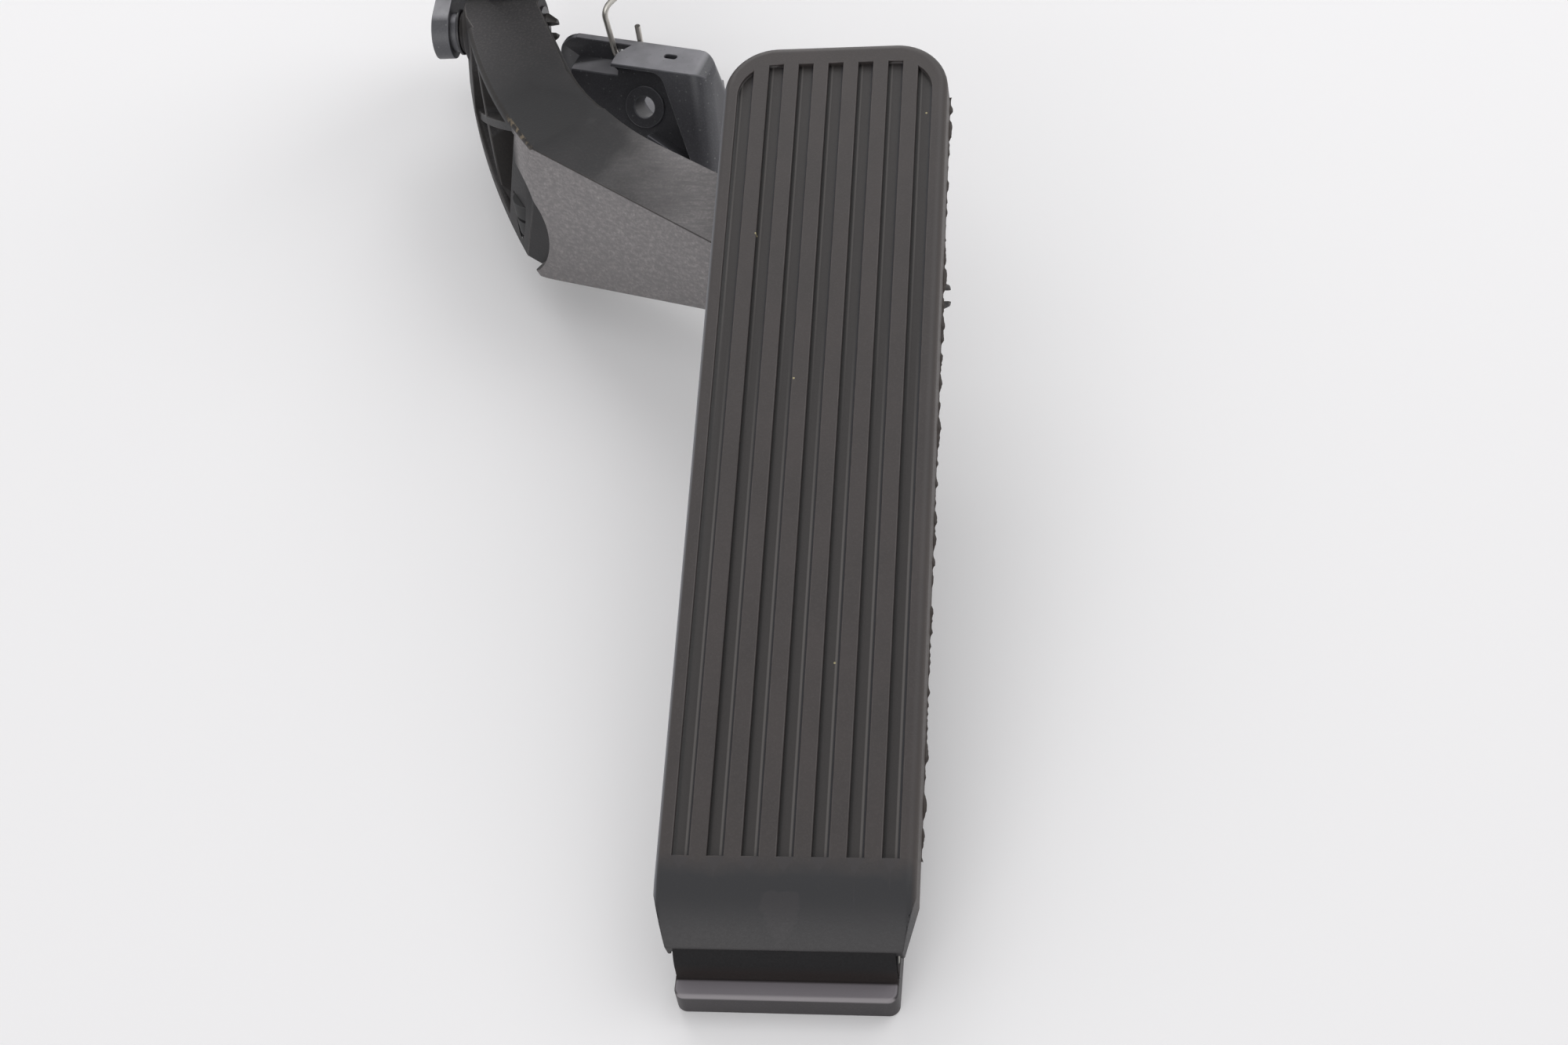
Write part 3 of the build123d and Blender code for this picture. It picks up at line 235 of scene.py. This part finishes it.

    # Brown cast on the right skirt, a painted highlight as a pale line on the left top edge, and a few pale
    # specks of grit
    brown = add_node(tree, "ShaderNodeMapRange", {0: across, 1: plate_half - 1.2 * MM, 2: plate_half, 4: 0.6})
    colour = add_node(tree, "ShaderNodeMix", {0: brown, 6: colour, 7: linear("40352f")}, data_type="RGBA")
    # Painted highlight: a pale blue-grey line along the top of the left edge
    inner, outer = 1.1 * MM - plate_half, 0.3 * MM - plate_half
    left = add_node(tree, "ShaderNodeMapRange", {0: across, 1: inner, 2: outer, 4: 0.6})
    under, over = tread_height - 2.4 * MM, tread_height - 1.6 * MM
    top = add_node(tree, "ShaderNodeMapRange", {0: height, 1: under, 2: over})
    left = add_node(tree, "ShaderNodeMath", {0: left, 1: top}, operation="MULTIPLY")
    colour = add_node(tree, "ShaderNodeMix", {0: left, 6: colour, 7: linear("8b8d93")}, data_type="RGBA")
    speck_gap, speck_rim, speck_core = 60, 0.32, 0.22
    specks = {"Vector": place, "Scale": 1 / (speck_gap * MM)}
    grit = add_node(tree, "ShaderNodeTexVoronoi", specks, voronoi_dimensions="2D")
    grit = add_node(
        tree, "ShaderNodeMapRange", {0: grit, 1: speck_rim / speck_gap, 2: speck_core / speck_gap, 4: 0.9}
    )
    colour = add_node(tree, "ShaderNodeMix", {0: grit, 6: colour, 7: linear("b9ae84")}, data_type="RGBA")
    tree.links.new(colour.outputs[2], shader.inputs["Base Color"])
    return material


def arm_nylon():
    """Glass-filled nylon: dull and sandy with short fibres, greyed by painted light on the front wall,
    darkened by painted shade at the dent, the left side and the knee.
    """
    material, tree, shader, place, colour = moulded(
        "arm_nylon", "464445", "3e3d3e", "716d6c", 0.8 * MM, 0.05 * MM, 0.62
    )
    shader.inputs["Specular IOR Level"].default_value = 0.3
    normal = add_node(tree, "ShaderNodeTexCoord").outputs["Normal"]
    x, _, z = add_node(tree, "ShaderNodeSeparateXYZ", {0: place}).outputs
    facing_right, _, facing_up = add_node(tree, "ShaderNodeSeparateXYZ", {0: normal}).outputs
    facing_out = add_node(tree, "ShaderNodeVectorMath", {0: normal, 1: wall_out}, operation="DOT_PRODUCT")
    facing_out = facing_out.outputs[1]
    patch = add_node(tree, "ShaderNodeTexNoise", {"Vector": place, "Scale": 1 / (22 * MM), "Detail": 4.0})
    patch = add_node(tree, "ShaderNodeMapRange", {0: patch, 1: 0.3, 2: 0.7, 3: -9 * MM, 4: 9 * MM})
    shifted = add_node(tree, "ShaderNodeMath", {0: x, 1: patch}, operation="ADD")

    # Painted light greys the front wall beyond the dent and the end of the upper face. Painted shade: dent,
    # left side, knee
    wall = add_node(tree, "ShaderNodeMapRange", {0: facing_out, 1: 0.55, 2: 0.85})
    along = add_node(tree, "ShaderNodeVectorMath", {0: place, 1: knee}, operation="SUBTRACT")
    along = add_node(tree, "ShaderNodeVectorMath", {0: along, 1: wall_run}, operation="DOT_PRODUCT")
    along = along.outputs[1]
    from_dent = add_node(tree, "ShaderNodeMath", {0: along, 1: dent_inset}, operation="ADD")
    from_middle = add_node(tree, "ShaderNodeMath", {0: z, 1: dent_height}, operation="SUBTRACT")
    flat = add_node(tree, "ShaderNodeCombineXYZ", {0: from_dent, 1: from_middle})
    round_dent = add_node(tree, "ShaderNodeVectorMath", {0: flat}, operation="LENGTH").outputs[1]
    inner, outer = dent_radius - 0.3 * MM, dent_radius + 0.1 * MM
    clear = add_node(tree, "ShaderNodeMapRange", {0: round_dent, 1: inner, 2: outer})
    beyond = add_node(tree, "ShaderNodeMapRange", {0: along, 1: -12 * MM, 2: -8 * MM})
    clear = add_node(tree, "ShaderNodeMath", {0: clear, 1: beyond}, operation="MULTIPLY")
    # Painted shade: the dent, the wall towards the knee and the left-facing side darkened
    hollow = add_node(tree, "ShaderNodeMath", {0: 1.0, 1: clear}, operation="SUBTRACT")
    hollow = add_node(tree, "ShaderNodeMath", {0: wall, 1: hollow}, operation="MULTIPLY")
    left = add_node(tree, "ShaderNodeMapRange", {0: facing_right, 1: -0.55, 2: -0.85})
    hollow = add_node(tree, "ShaderNodeMath", {0: hollow, 1: left}, operation="MAXIMUM")
    hollow = add_node(tree, "ShaderNodeMath", {0: hollow, 1: 0.55}, operation="MULTIPLY")
    colour = add_node(tree, "ShaderNodeMix", {0: hollow, 6: colour, 7: linear("1e1e20")}, data_type="RGBA")
    # Painted light: the front wall past the dent and the end of the upper face greyed, the fibres showing in
    # it
    wall = add_node(tree, "ShaderNodeMath", {0: wall, 1: clear}, operation="MULTIPLY")
    upper = add_node(tree, "ShaderNodeMapRange", {0: facing_up, 1: 0.6, 2: 0.9})
    thin = add_node(tree, "ShaderNodeMapRange", {0: shifted, 1: -72 * MM, 2: -38 * MM})
    upper = add_node(tree, "ShaderNodeMath", {0: upper, 1: thin}, operation="MULTIPLY")
    grey = add_node(tree, "ShaderNodeMath", {0: wall, 1: upper}, operation="MAXIMUM")
    # Painted shade: the upper face darkened around a spot by the knee
    off = add_node(tree, "ShaderNodeVectorMath", {0: place, 1: shade_centre}, operation="DISTANCE").outputs[1]
    off = add_node(tree, "ShaderNodeMath", {0: patch, 1: 0.5, 2: off}, operation="MULTIPLY_ADD")
    knee_shade = add_node(tree, "ShaderNodeMapRange", {0: off, 1: 44 * MM, 2: 12 * MM, 4: 0.85})
    colour = add_node(tree, "ShaderNodeMix", {0: knee_shade, 6: colour, 7: linear("1a1a1c")}, data_type="RGBA")

    # Fibres lie slanting to the knee, as the melt ran: drawn coarser than the real 0.3 mm so that they show
    slant = (0.0, radians(35), radians(-28))
    slanted = add_node(
        tree, "ShaderNodeMapping", {"Vector": place, "Rotation": slant, "Scale": (1.0, 4.0, 4.0)}
    )
    fibre = add_node(tree, "ShaderNodeTexNoise", {"Vector": slanted, "Scale": 1 / (4 * MM), "Detail": 4.0})
    fibre = add_node(tree, "ShaderNodeMapRange", {0: fibre, 1: 0.35, 2: 0.68})
    sand = add_node(tree, "ShaderNodeTexNoise", {"Vector": place, "Scale": 1 / (0.7 * MM), "Detail": 2.0})
    sand = add_node(tree, "ShaderNodeMapRange", {0: sand, 1: 0.3, 2: 0.7})
    streaks = add_node(tree, "ShaderNodeMath", {0: fibre, 1: sand}, operation="MULTIPLY")
    greyed = add_node(
        tree, "ShaderNodeMix", {0: streaks, 6: linear("7a7778"), 7: linear("9a9695")}, data_type="RGBA"
    )
    # The painted light is darker towards the bottom of the wall
    low = add_node(tree, "ShaderNodeMapRange", {0: z, 1: 40 * MM, 2: 12 * MM, 4: 0.55})
    greyed = add_node(tree, "ShaderNodeMix", {0: low, 6: greyed, 7: linear("5c5a5a")}, data_type="RGBA")
    colour = add_node(tree, "ShaderNodeMix", {0: grey, 6: colour, 7: greyed}, data_type="RGBA")

    # Round rim between the front wall and the upper face: a dark line of painted shade, scuffed brown at the
    # knee
    rim = add_node(tree, "ShaderNodeMapRange", {0: facing_up, 1: 0.3, 2: 0.5})
    inside = add_node(tree, "ShaderNodeMapRange", {0: facing_up, 1: 0.985, 2: 0.93})
    rim = add_node(tree, "ShaderNodeMath", {0: rim, 1: inside}, operation="MULTIPLY")
    line = add_node(tree, "ShaderNodeMath", {0: rim, 1: 0.75}, operation="MULTIPLY")
    colour = add_node(tree, "ShaderNodeMix", {0: line, 6: colour, 7: linear("292624")}, data_type="RGBA")
    near = add_node(tree, "ShaderNodeVectorMath", {0: place, 1: scuffed}, operation="DISTANCE").outputs[1]
    near = add_node(tree, "ShaderNodeMapRange", {0: near, 1: 10 * MM, 2: 5 * MM})
    scuff = add_node(tree, "ShaderNodeTexNoise", {"Vector": place, "Scale": 1 / (1.6 * MM), "Detail": 3.0})
    scuff = add_node(tree, "ShaderNodeMapRange", {0: scuff, 1: 0.5, 2: 0.62, 4: 0.8})
    scuff = add_node(tree, "ShaderNodeMath", {0: scuff, 1: near}, operation="MULTIPLY")
    scuff = add_node(tree, "ShaderNodeMath", {0: scuff, 1: rim}, operation="MULTIPLY")
    colour = add_node(tree, "ShaderNodeMix", {0: scuff, 6: colour, 7: linear("7a6e5c")}, data_type="RGBA")
    tree.links.new(colour.outputs[2], shader.inputs["Base Color"])
    return material


def bracket_nylon():
    """Smooth black nylon with a satin gloss: dust and a painted sheen grey what faces up, and fine grit sits
    in the hollows.
    """
    material, tree, shader, place, colour = moulded(
        "bracket_nylon", "525256", "4a4a4e", "707075", 0.5 * MM, 0.012 * MM, 0.4
    )
    normal = add_node(tree, "ShaderNodeTexCoord").outputs["Normal"]
    facing_up = add_node(tree, "ShaderNodeSeparateXYZ", {0: normal}).outputs[2]
    film = add_node(tree, "ShaderNodeTexNoise", {"Vector": place, "Scale": 1 / (9 * MM), "Detail": 5.0})
    film = add_node(tree, "ShaderNodeMapRange", {0: film, 1: 0.3, 2: 0.6, 3: 0.55, 4: 0.9})
    # Dust and a painted sheen lighten the faces that look up
    dust_and_sheen = add_node(tree, "ShaderNodeMapRange", {0: facing_up, 1: 0.9, 2: 0.99})
    dust_and_sheen = add_node(tree, "ShaderNodeMath", {0: dust_and_sheen, 1: film}, operation="MULTIPLY")
    colour = add_node(tree, "ShaderNodeMix", {0: dust_and_sheen, 6: colour, 7: linear("b2b1b6")}, data_type="RGBA")
    grit = add_node(tree, "ShaderNodeTexVoronoi", {"Vector": place, "Scale": 1 / (2.2 * MM)})
    grit = add_node(tree, "ShaderNodeMapRange", {0: grit, 1: 0.16, 2: 0.08, 4: 0.5})
    colour = add_node(tree, "ShaderNodeMix", {0: grit, 6: colour, 7: linear("8c8c8c")}, data_type="RGBA")
    tree.links.new(colour.outputs[2], shader.inputs["Base Color"])
    return material


def foot_nylon():
    """Satin black nylon of the foot: paler on top by painted light, a painted highlight on its toe's crease,
    brown dirt and painted shade in the hinge.
    """
    material, tree, shader, place, colour = moulded(
        "foot_nylon", "3b383a", "353234", "5b585a", 0.5 * MM, 0.015 * MM, 0.45
    )
    shader.inputs["Specular IOR Level"].default_value = 0.35
    y, z = add_node(tree, "ShaderNodeSeparateXYZ", {0: place}).outputs[1:]
    off = add_node(tree, "ShaderNodeVectorMath", {0: place, 1: toe_edge}, operation="SUBTRACT")
    off = add_node(tree, "ShaderNodeVectorMath", {0: off, 1: (0.0, 1.0, 1.0)}, operation="MULTIPLY")
    off = add_node(tree, "ShaderNodeVectorMath", {0: off}, operation="LENGTH").outputs[1]
    normal = add_node(tree, "ShaderNodeTexCoord").outputs["Normal"]
    facing_up = add_node(tree, "ShaderNodeSeparateXYZ", {0: normal}).outputs[2]
    # Painted light: the faces that look up made paler
    lit_top = add_node(tree, "ShaderNodeMapRange", {0: facing_up, 1: 0.7, 2: 0.95, 4: 0.85})
    colour = add_node(tree, "ShaderNodeMix", {0: lit_top, 6: colour, 7: linear("888388")}, data_type="RGBA")
    # Painted highlight along the rounded crease of the toe
    crease = add_node(tree, "ShaderNodeMapRange", {0: off, 1: 0.9 * MM, 2: 0.4 * MM, 4: 0.8})
    colour = add_node(tree, "ShaderNodeMix", {0: crease, 6: colour, 7: linear("9c979a")}, data_type="RGBA")
    # Hinge web and the toe behind it: brown dirt and painted shade, near black up high, browner low down, and
    # rougher
    high = add_node(tree, "ShaderNodeMapRange", {0: z, 1: 6.4 * MM, 2: 6.7 * MM})
    back = add_node(tree, "ShaderNodeMapRange", {0: y, 1: -6.5 * MM, 2: -5.9 * MM, 4: 0.95})
    dirt_and_shade = add_node(tree, "ShaderNodeMath", {0: high, 1: back}, operation="MULTIPLY")
    matt = shader.inputs["Roughness"].links[0].from_socket
    matt = add_node(tree, "ShaderNodeMath", {0: dirt_and_shade, 1: 0.4, 2: matt}, operation="MULTIPLY_ADD")
    tree.links.new(matt.outputs[0], shader.inputs["Roughness"])
    brown = add_node(tree, "ShaderNodeMapRange", {0: z, 1: 12 * MM, 2: 9 * MM})
    dirt_and_shade_tone = add_node(
        tree, "ShaderNodeMix", {0: brown, 6: linear("0d0c0e"), 7: linear("1d1615")}, data_type="RGBA"
    )
    colour = add_node(tree, "ShaderNodeMix", {0: dirt_and_shade, 6: colour, 7: dirt_and_shade_tone}, data_type="RGBA")
    tree.links.new(colour.outputs[2], shader.inputs["Base Color"])
    return material


def pin_nylon():
    """Matte black nylon of the snap pin."""
    return moulded("pin_nylon", "36322f", "2f2c2a", "4a4643", 0.4 * MM, 0.012 * MM, 0.5)[0]


def acetal():
    """Black acetal: smooth and waxy, with a soft gloss on its turned faces."""
    return moulded("acetal", "2a2a2c", "242426", "444447", 0.6 * MM, 0.006 * MM, 0.34)[0]


def rubber():
    """Moulded rubber: deep matte black with a faint grey bloom."""
    return moulded("rubber", "222223", "2b2b2c", "414142", 0.5 * MM, 0.03 * MM, 0.7)[0]


def metal(name, *layers):
    """Metal with the same layers of tone, grain and rubbed edges as the mouldings."""
    material, _, shader = moulded(name, *layers)[:3]
    shader.inputs["Metallic"].default_value = 1.0
    shader.inputs["IOR"].default_value = 1.5
    return material


def zinc_steel():
    """Zinc-plated steel: pale grey metal with a faint warm cast from the passivation."""
    return metal("zinc_steel", "7e7d79", "8a8678", "9c9b96", 0.4 * MM, 0.004 * MM, 0.34)


def spring_wire():
    """Drawn spring steel: pale warm grey, fine-grained, with a dull oil film."""
    return metal("spring_wire", "d6d3cc", "c2beb6", "e0ddd7", 0.3 * MM, 0.006 * MM, 0.4)


makers = (
    plate_nylon, arm_nylon, bracket_nylon, foot_nylon, pin_nylon, acetal, rubber, zinc_steel, spring_wire
)
finishes = {maker.__name__: maker() for maker in makers}

# Pieces


def finished(name, mesh, body, slot, node=None):
    """Piece with its finish and its body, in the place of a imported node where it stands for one."""
    piece = bpy.data.objects.new(name, mesh)
    scene.collection.objects.link(piece)
    mesh.materials.clear()
    mesh.materials.append(finishes[slot])
    if body:
        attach(piece, body)
    if node:
        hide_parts(node)
    return piece


def shaded(mesh):
    """Shades a mesh smooth, apart from edges where its faces turn sharply."""
    for face in mesh.polygons:
        face.use_smooth = True
    mesh.set_sharp_from_angle(angle=shade_turn)


def softened(node, edge, broad=None, broad_edge=0.0):
    """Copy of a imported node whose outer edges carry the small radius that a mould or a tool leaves."""
    mesh = frame["nodes"][node].data.copy()
    form = bmesh.new()
    form.from_mesh(mesh)
    bmesh.ops.remove_doubles(form, verts=form.verts, dist=0.001 * MM)
    bmesh.ops.dissolve_limit(form, angle_limit=flat_turn, verts=form.verts, edges=form.edges)
    # Layer marking the small radii for pale edges: wear and a painted highlight
    pale_mark = form.faces.layers.float.new("worn_and_lit_edge")
    for chosen, offset, steps in ((broad, broad_edge, 5), (None, edge, 2)):
        sharp = [e for e in form.edges if e.is_manifold and e.is_convex and e.calc_face_angle() > edge_turn]
        if chosen:
            sharp = [e for e in sharp if all(chosen(v.co) for v in e.verts)]
        if not sharp or not offset:
            continue
        made = bmesh.ops.bevel(
            form, geom=sharp, offset=offset, offset_type="OFFSET", segments=steps, profile=0.5,
            affect="EDGES", clamp_overlap=False, loop_slide=True
        )
        if not chosen:
            for face in made["faces"]:
                face[pale_mark] = 1.0
    bmesh.ops.remove_doubles(form, verts=form.verts, dist=0.002 * MM)
    form.to_mesh(mesh)
    form.free()
    shaded(mesh)
    piece = finished(f"{node}_finished", mesh, body_of[node], slot_of[node], node)
    piece.modifiers.new("Even normals", "WEIGHTED_NORMAL").keep_sharp = True


def ribbon_rim(place):
    """Whether a point lies on the rim of the arm's upper face, away from the hub and the tail."""
    return abs(place.z - arm_top) < 0.3 * MM and place.y < hub_edge


edge_radii = {
    "pedal_plate": 0.3, "foot": 0.3, "bracket": 0.35, "pivot_pin": 0.15, "left_bush": 0.15,
    "right_bush": 0.15, "roller": 0.4, "cable_eye": 0.15, "spring_spool": 0.15, "floor_buffer": 0.25,
    "idle_stop": 0.3, "cable_grommet": 0.3, "hinge_pin": 0.2, "guide_rail": 0.2, "floor_clip_left": 0.12,
    "floor_clip_right": 0.12, "bolt_sleeves": 0.15, "push_nut": 0.1,
}
for node, radius in edge_radii.items():
    softened(node, radius * MM)
softened("arm", 0.35 * MM, ribbon_rim, 1.4 * MM)


def sized_tree(name, sizes):
    """Empty Geometry Nodes tree with a named input for each size."""
    tree = bpy.data.node_groups.new(name, "GeometryNodeTree")
    tree.interface.new_socket("Line", in_out="INPUT", socket_type="NodeSocketGeometry")
    for size, kind in sizes:
        tree.interface.new_socket(size, in_out="INPUT", socket_type=kind)
    tree.interface.new_socket("Piece", in_out="OUTPUT", socket_type="NodeSocketGeometry")
    entry = add_node(tree, "NodeGroupInput")
    line = add_node(tree, "GeometryNodeMeshToCurve", {0: entry.outputs["Line"]})
    return tree, entry, line


def close_tree(tree, shape, material):
    """Ends a tree: instances made real, and the finish set."""
    real = add_node(tree, "GeometryNodeRealizeInstances", {0: shape})
    made = add_node(tree, "GeometryNodeSetMaterial", {"Geometry": real, "Material": material})
    add_node(tree, "NodeGroupOutput", {0: made})


def grown(tree, points, values):
    """Plain mesh that a tree makes along a line of points given in millimetres."""
    line = bpy.data.meshes.new("line")
    line.from_pydata([Vector(p) * MM for p in points], [(i, i + 1) for i in range(len(points) - 1)], [])
    holder = bpy.data.objects.new("line", line)
    scene.collection.objects.link(holder)
    grower = holder.modifiers.new("Grow", "NODES")
    grower.node_group = tree
    for item in tree.interface.items_tree:
        if item.in_out == "INPUT" and item.name in values:
            grower[item.identifier] = values[item.name]
    graph = bpy.context.evaluated_depsgraph_get()
    mesh = bpy.data.meshes.new_from_object(holder.evaluated_get(graph))
    holder.modifiers.remove(grower)
    bpy.data.objects.remove(holder)
    return mesh


def wire_tree():
    """Round wire along a line, with bends of one radius."""
    sizes = (("Thickness", "NodeSocketFloat"), ("Bend", "NodeSocketFloat"))
    tree, entry, line = sized_tree("bent_wire", sizes)
    bent = add_node(
        tree, "GeometryNodeFilletCurve",
        {"Curve": line, "Count": 6, "Radius": entry.outputs["Bend"], "Limit Radius": True}, mode="POLY"
    )
    half = add_node(tree, "ShaderNodeMath", {0: entry.outputs["Thickness"], 1: 0.5}, operation="MULTIPLY")
    ring = add_node(tree, "GeometryNodeCurvePrimitiveCircle", {"Resolution": 14, "Radius": half})
    tube = add_node(
        tree, "GeometryNodeCurveToMesh", {"Curve": bent, "Profile Curve": ring, "Fill Caps": True}
    )
    close_tree(tree, tube, finishes["spring_wire"])
    return tree


def return_wire():
    """Bent wire of the return spring: hooked in the lug, coiled on its spool, long leg behind the tail."""
    lug = Vector((-92.0, 312.8, 0.0))
    lug_turn = Matrix.Rotation(radians(-15), 3, "Z")
    hook = ((20.8, 1.2, 45), (20.8, 1.2, 34.2), (14.4, -4, 34.2), (13, -4, 54))
    points = [lug + lug_turn @ Vector(p) for p in hook]
    spool_x, spool_y, spool_z = -60, 332, 74
    coil_radius, coil_pitch, turns, per_turn = 7, 2.1, 3.4034, 30
    entry, lead_run = radians(-65.08), 10
    steps = round(turns * per_turn)
    coil = []
    for step in range(steps + 1):
        angle = entry + 2 * pi * turns * step / steps
        across = spool_x - coil_pitch * turns * step / steps
        coil.append(Vector((across, spool_y + coil_radius * cos(angle), spool_z + coil_radius * sin(angle))))
    lead = (coil[1] - coil[0]).normalized()
    leg_y, leg_z, leg_end = 303.8, 86.0, -123.5
    points += [coil[0] - lead * lead_run] + coil
    points += [(coil[-1].x, leg_y, leg_z), (leg_end, leg_y, leg_z)]
    mesh = grown(wire_tree(), points, {"Thickness": 1.8 * MM, "Bend": 4 * MM})
    shaded(mesh)
    wire = finished("return_spring_wire", mesh, None, "spring_wire", "return_spring")
    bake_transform(wire)


def flash_tree():
    """Ragged fin of plastic that squeezed out of the mould's parting line."""
    sizes = (
        ("Steps", "NodeSocketInt"), ("Reach", "NodeSocketFloat"), ("Thickness", "NodeSocketFloat"),
        ("Seed", "NodeSocketFloat")
    )
    tree, entry, line = sized_tree("mould_flash", sizes)
    cut = add_node(tree, "GeometryNodeResampleCurve", {"Curve": line, "Count": entry.outputs["Steps"]})
    ragged = add_node(
        tree, "ShaderNodeTexNoise", {"W": entry.outputs["Seed"], "Scale": 1 / (4 * MM), "Detail": 5.0},
        noise_dimensions="4D"
    )
    ragged = add_node(tree, "ShaderNodeMapRange", {0: ragged, 1: 0.44, 2: 0.7, 3: 0.1})
    fin = add_node(
        tree, "GeometryNodeCurvePrimitiveQuadrilateral",
        {"Width": entry.outputs["Reach"], "Height": entry.outputs["Thickness"]}
    )
    shape = add_node(
        tree, "GeometryNodeCurveToMesh",
        {"Curve": cut, "Profile Curve": fin, "Scale": ragged, "Fill Caps": True}
    )
    close_tree(tree, shape, finishes["plate_nylon"])
    return tree


def skirt_flash():
    """Flash along the plate's right skirt, and two nibs of it on the left."""
    tree = flash_tree()
    turn = Matrix.Rotation(plate_slope, 3, "X")
    lift, thickness = 0.3, 0.5
    # Each run: name, side, start and end along the slope, steps, reach and seed
    runs = (
        ("right", 1, 22.0, 244.0, 420, 2.0, 3.0),
        ("left_low", -1, 104.0, 106.5, 9, 2.2, 5.0),
        ("left_high", -1, 108.0, 112.0, 14, 2.2, 8.0),
    )
    for name, side, start, end, steps, reach, seed in runs:
        points = [
            hinge / MM + turn @ Vector((side * plate_half / MM, along, skirt_floor / MM + lift))
            for along in (start, end)
        ]
        values = {"Steps": steps, "Reach": reach * MM, "Thickness": thickness * MM, "Seed": seed}
        finished(f"flash_{name}", grown(tree, points, values), body_of["pedal_plate"], "plate_nylon")


def hinge_web():
    """Thin flexible web that closes the gap between the foot's toe and the apron's lip."""
    # Front of the web from the toe up to the lip, in Y and Z
    line = (
        (-5.6, 6.9), (-5.2, 7.6), (-5.05, 8.6), (-5.0, 10.0), (-4.95, 11.2), (-4.6, 12.8), (-3.8, 14.6),
        (-2.8, 16.2)
    )
    half, wall = 26.2, 0.3
    mesh = bpy.data.meshes.new("hinge_web")
    form = bmesh.new()
    ring = [(-half, y, z) for y, z in line] + [(-half, y + wall, z) for y, z in reversed(line)]
    face = form.faces.new([form.verts.new(Vector(p) * MM) for p in ring])
    made = bmesh.ops.extrude_face_region(form, geom=[face])
    moved = [v for v in made["geom"] if isinstance(v, bmesh.types.BMVert)]
    bmesh.ops.translate(form, verts=moved, vec=(2 * half * MM, 0, 0))
    bmesh.ops.recalc_face_normals(form, faces=form.faces)
    form.to_mesh(mesh)
    form.free()
    shaded(mesh)
    web = finished("hinge_web", mesh, None, "foot_nylon")
    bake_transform(web)


return_wire()
skirt_flash()
hinge_web()

# Floor, light and camera


def background_rays(tree):
    """One on the rays that show the background to the camera, in a gloss or through glass, else nought."""
    rays = add_node(tree, "ShaderNodeLightPath").outputs
    seen = {0: rays["Is Camera Ray"], 1: rays["Is Glossy Ray"]}
    seen = add_node(tree, "ShaderNodeMath", seen, operation="MAXIMUM")
    return add_node(tree, "ShaderNodeMath", {0: seen, 1: rays["Is Transmission Ray"]}, operation="MAXIMUM")


def pale_floor():
    """Plain pale floor that the pedal stands on, which brightens into the surround far away."""
    reach = 6.0
    mesh = bpy.data.meshes.new("floor")
    corners = [(-reach, -reach, 0), (reach, -reach, 0), (reach, reach, 0), (-reach, reach, 0)]
    mesh.from_pydata(corners, [], [(0, 1, 2, 3)])
    floor = bpy.data.objects.new("floor", mesh)
    scene.collection.objects.link(floor)
    material, tree, shader = blank_material("white_card")
    shader.inputs["Base Color"].default_value = linear("f1f0f1")
    shader.inputs["Roughness"].default_value = 0.8
    place = add_node(tree, "ShaderNodeTexCoord").outputs["Object"]
    away = add_node(tree, "ShaderNodeVectorMath", {0: place}, operation="LENGTH").outputs[1]
    glow = add_node(tree, "ShaderNodeMapRange", {0: away, 1: 0.7, 2: 2.5, 3: 0.1, 4: 0.3})
    seen = {0: background_rays(tree), 1: glow}
    seen = add_node(tree, "ShaderNodeMath", seen, operation="MULTIPLY")
    shader.inputs["Emission Color"].default_value = linear("ffffff")
    tree.links.new(seen.outputs[0], shader.inputs["Emission Strength"])
    floor.data.materials.append(material)


def soft_box(name, place, size, level):
    """Square lamp aimed at the middle of the pedal, with a plain level of brightness on its face."""
    lamp = bpy.data.lights.new(name, "AREA")
    lamp.size = size
    lamp.energy = level * pi * size * size
    holder = bpy.data.objects.new(name, lamp)
    holder.location = place
    aim = Vector((-0.02, 0.15, 0.03)) - Vector(place)
    holder.rotation_euler = aim.to_track_quat("-Z", "Y").to_euler()
    scene.collection.objects.link(holder)


def studio_light():
    """Pale surround, with a large soft box low behind, one at the back right and one in front on the left."""
    world = bpy.data.worlds.new("studio")
    scene.world = world
    world.use_nodes = True
    tree = world.node_tree
    tree.nodes.clear()
    level = add_node(tree, "ShaderNodeMapRange", {0: background_rays(tree), 3: 0.55, 4: 0.85})
    sky = add_node(tree, "ShaderNodeBackground", {0: linear("fbfbfc"), 1: level})
    add_node(tree, "ShaderNodeOutputWorld", {0: sky})
    soft_box("back_box", (-0.45, 1.5, 0.95), 1.1, 2.2)
    soft_box("right_box", (0.9, 0.9, 1.3), 1.2, 1.4)
    soft_box("front_box", (-0.35, -1.4, 0.6), 1.2, 1.4)


def photo_camera():
    """Camera at the photograph's place and angle."""
    lens = bpy.data.cameras.new("camera")
    lens.sensor_width = sensor_width
    lens.sensor_fit = "HORIZONTAL"
    lens.lens = focal_pixels / photo_width * sensor_width
    tilt = cos(camera_pitch)
    forward = Vector((sin(camera_yaw) * tilt, cos(camera_yaw) * tilt, -sin(camera_pitch)))
    level = Vector((cos(camera_yaw), -sin(camera_yaw), 0))
    down = forward.cross(level)
    right = level * cos(camera_roll) + down * sin(camera_roll)
    below = down * cos(camera_roll) - level * sin(camera_roll)
    holder = bpy.data.objects.new("camera", lens)
    turn = Matrix((right, -below, -forward)).transposed().to_4x4()
    holder.matrix_world = Matrix.Translation(camera_place) @ turn
    scene.collection.objects.link(holder)
    scene.camera = holder


pale_floor()
studio_light()
photo_camera()
scene.view_settings.view_transform = "Standard"
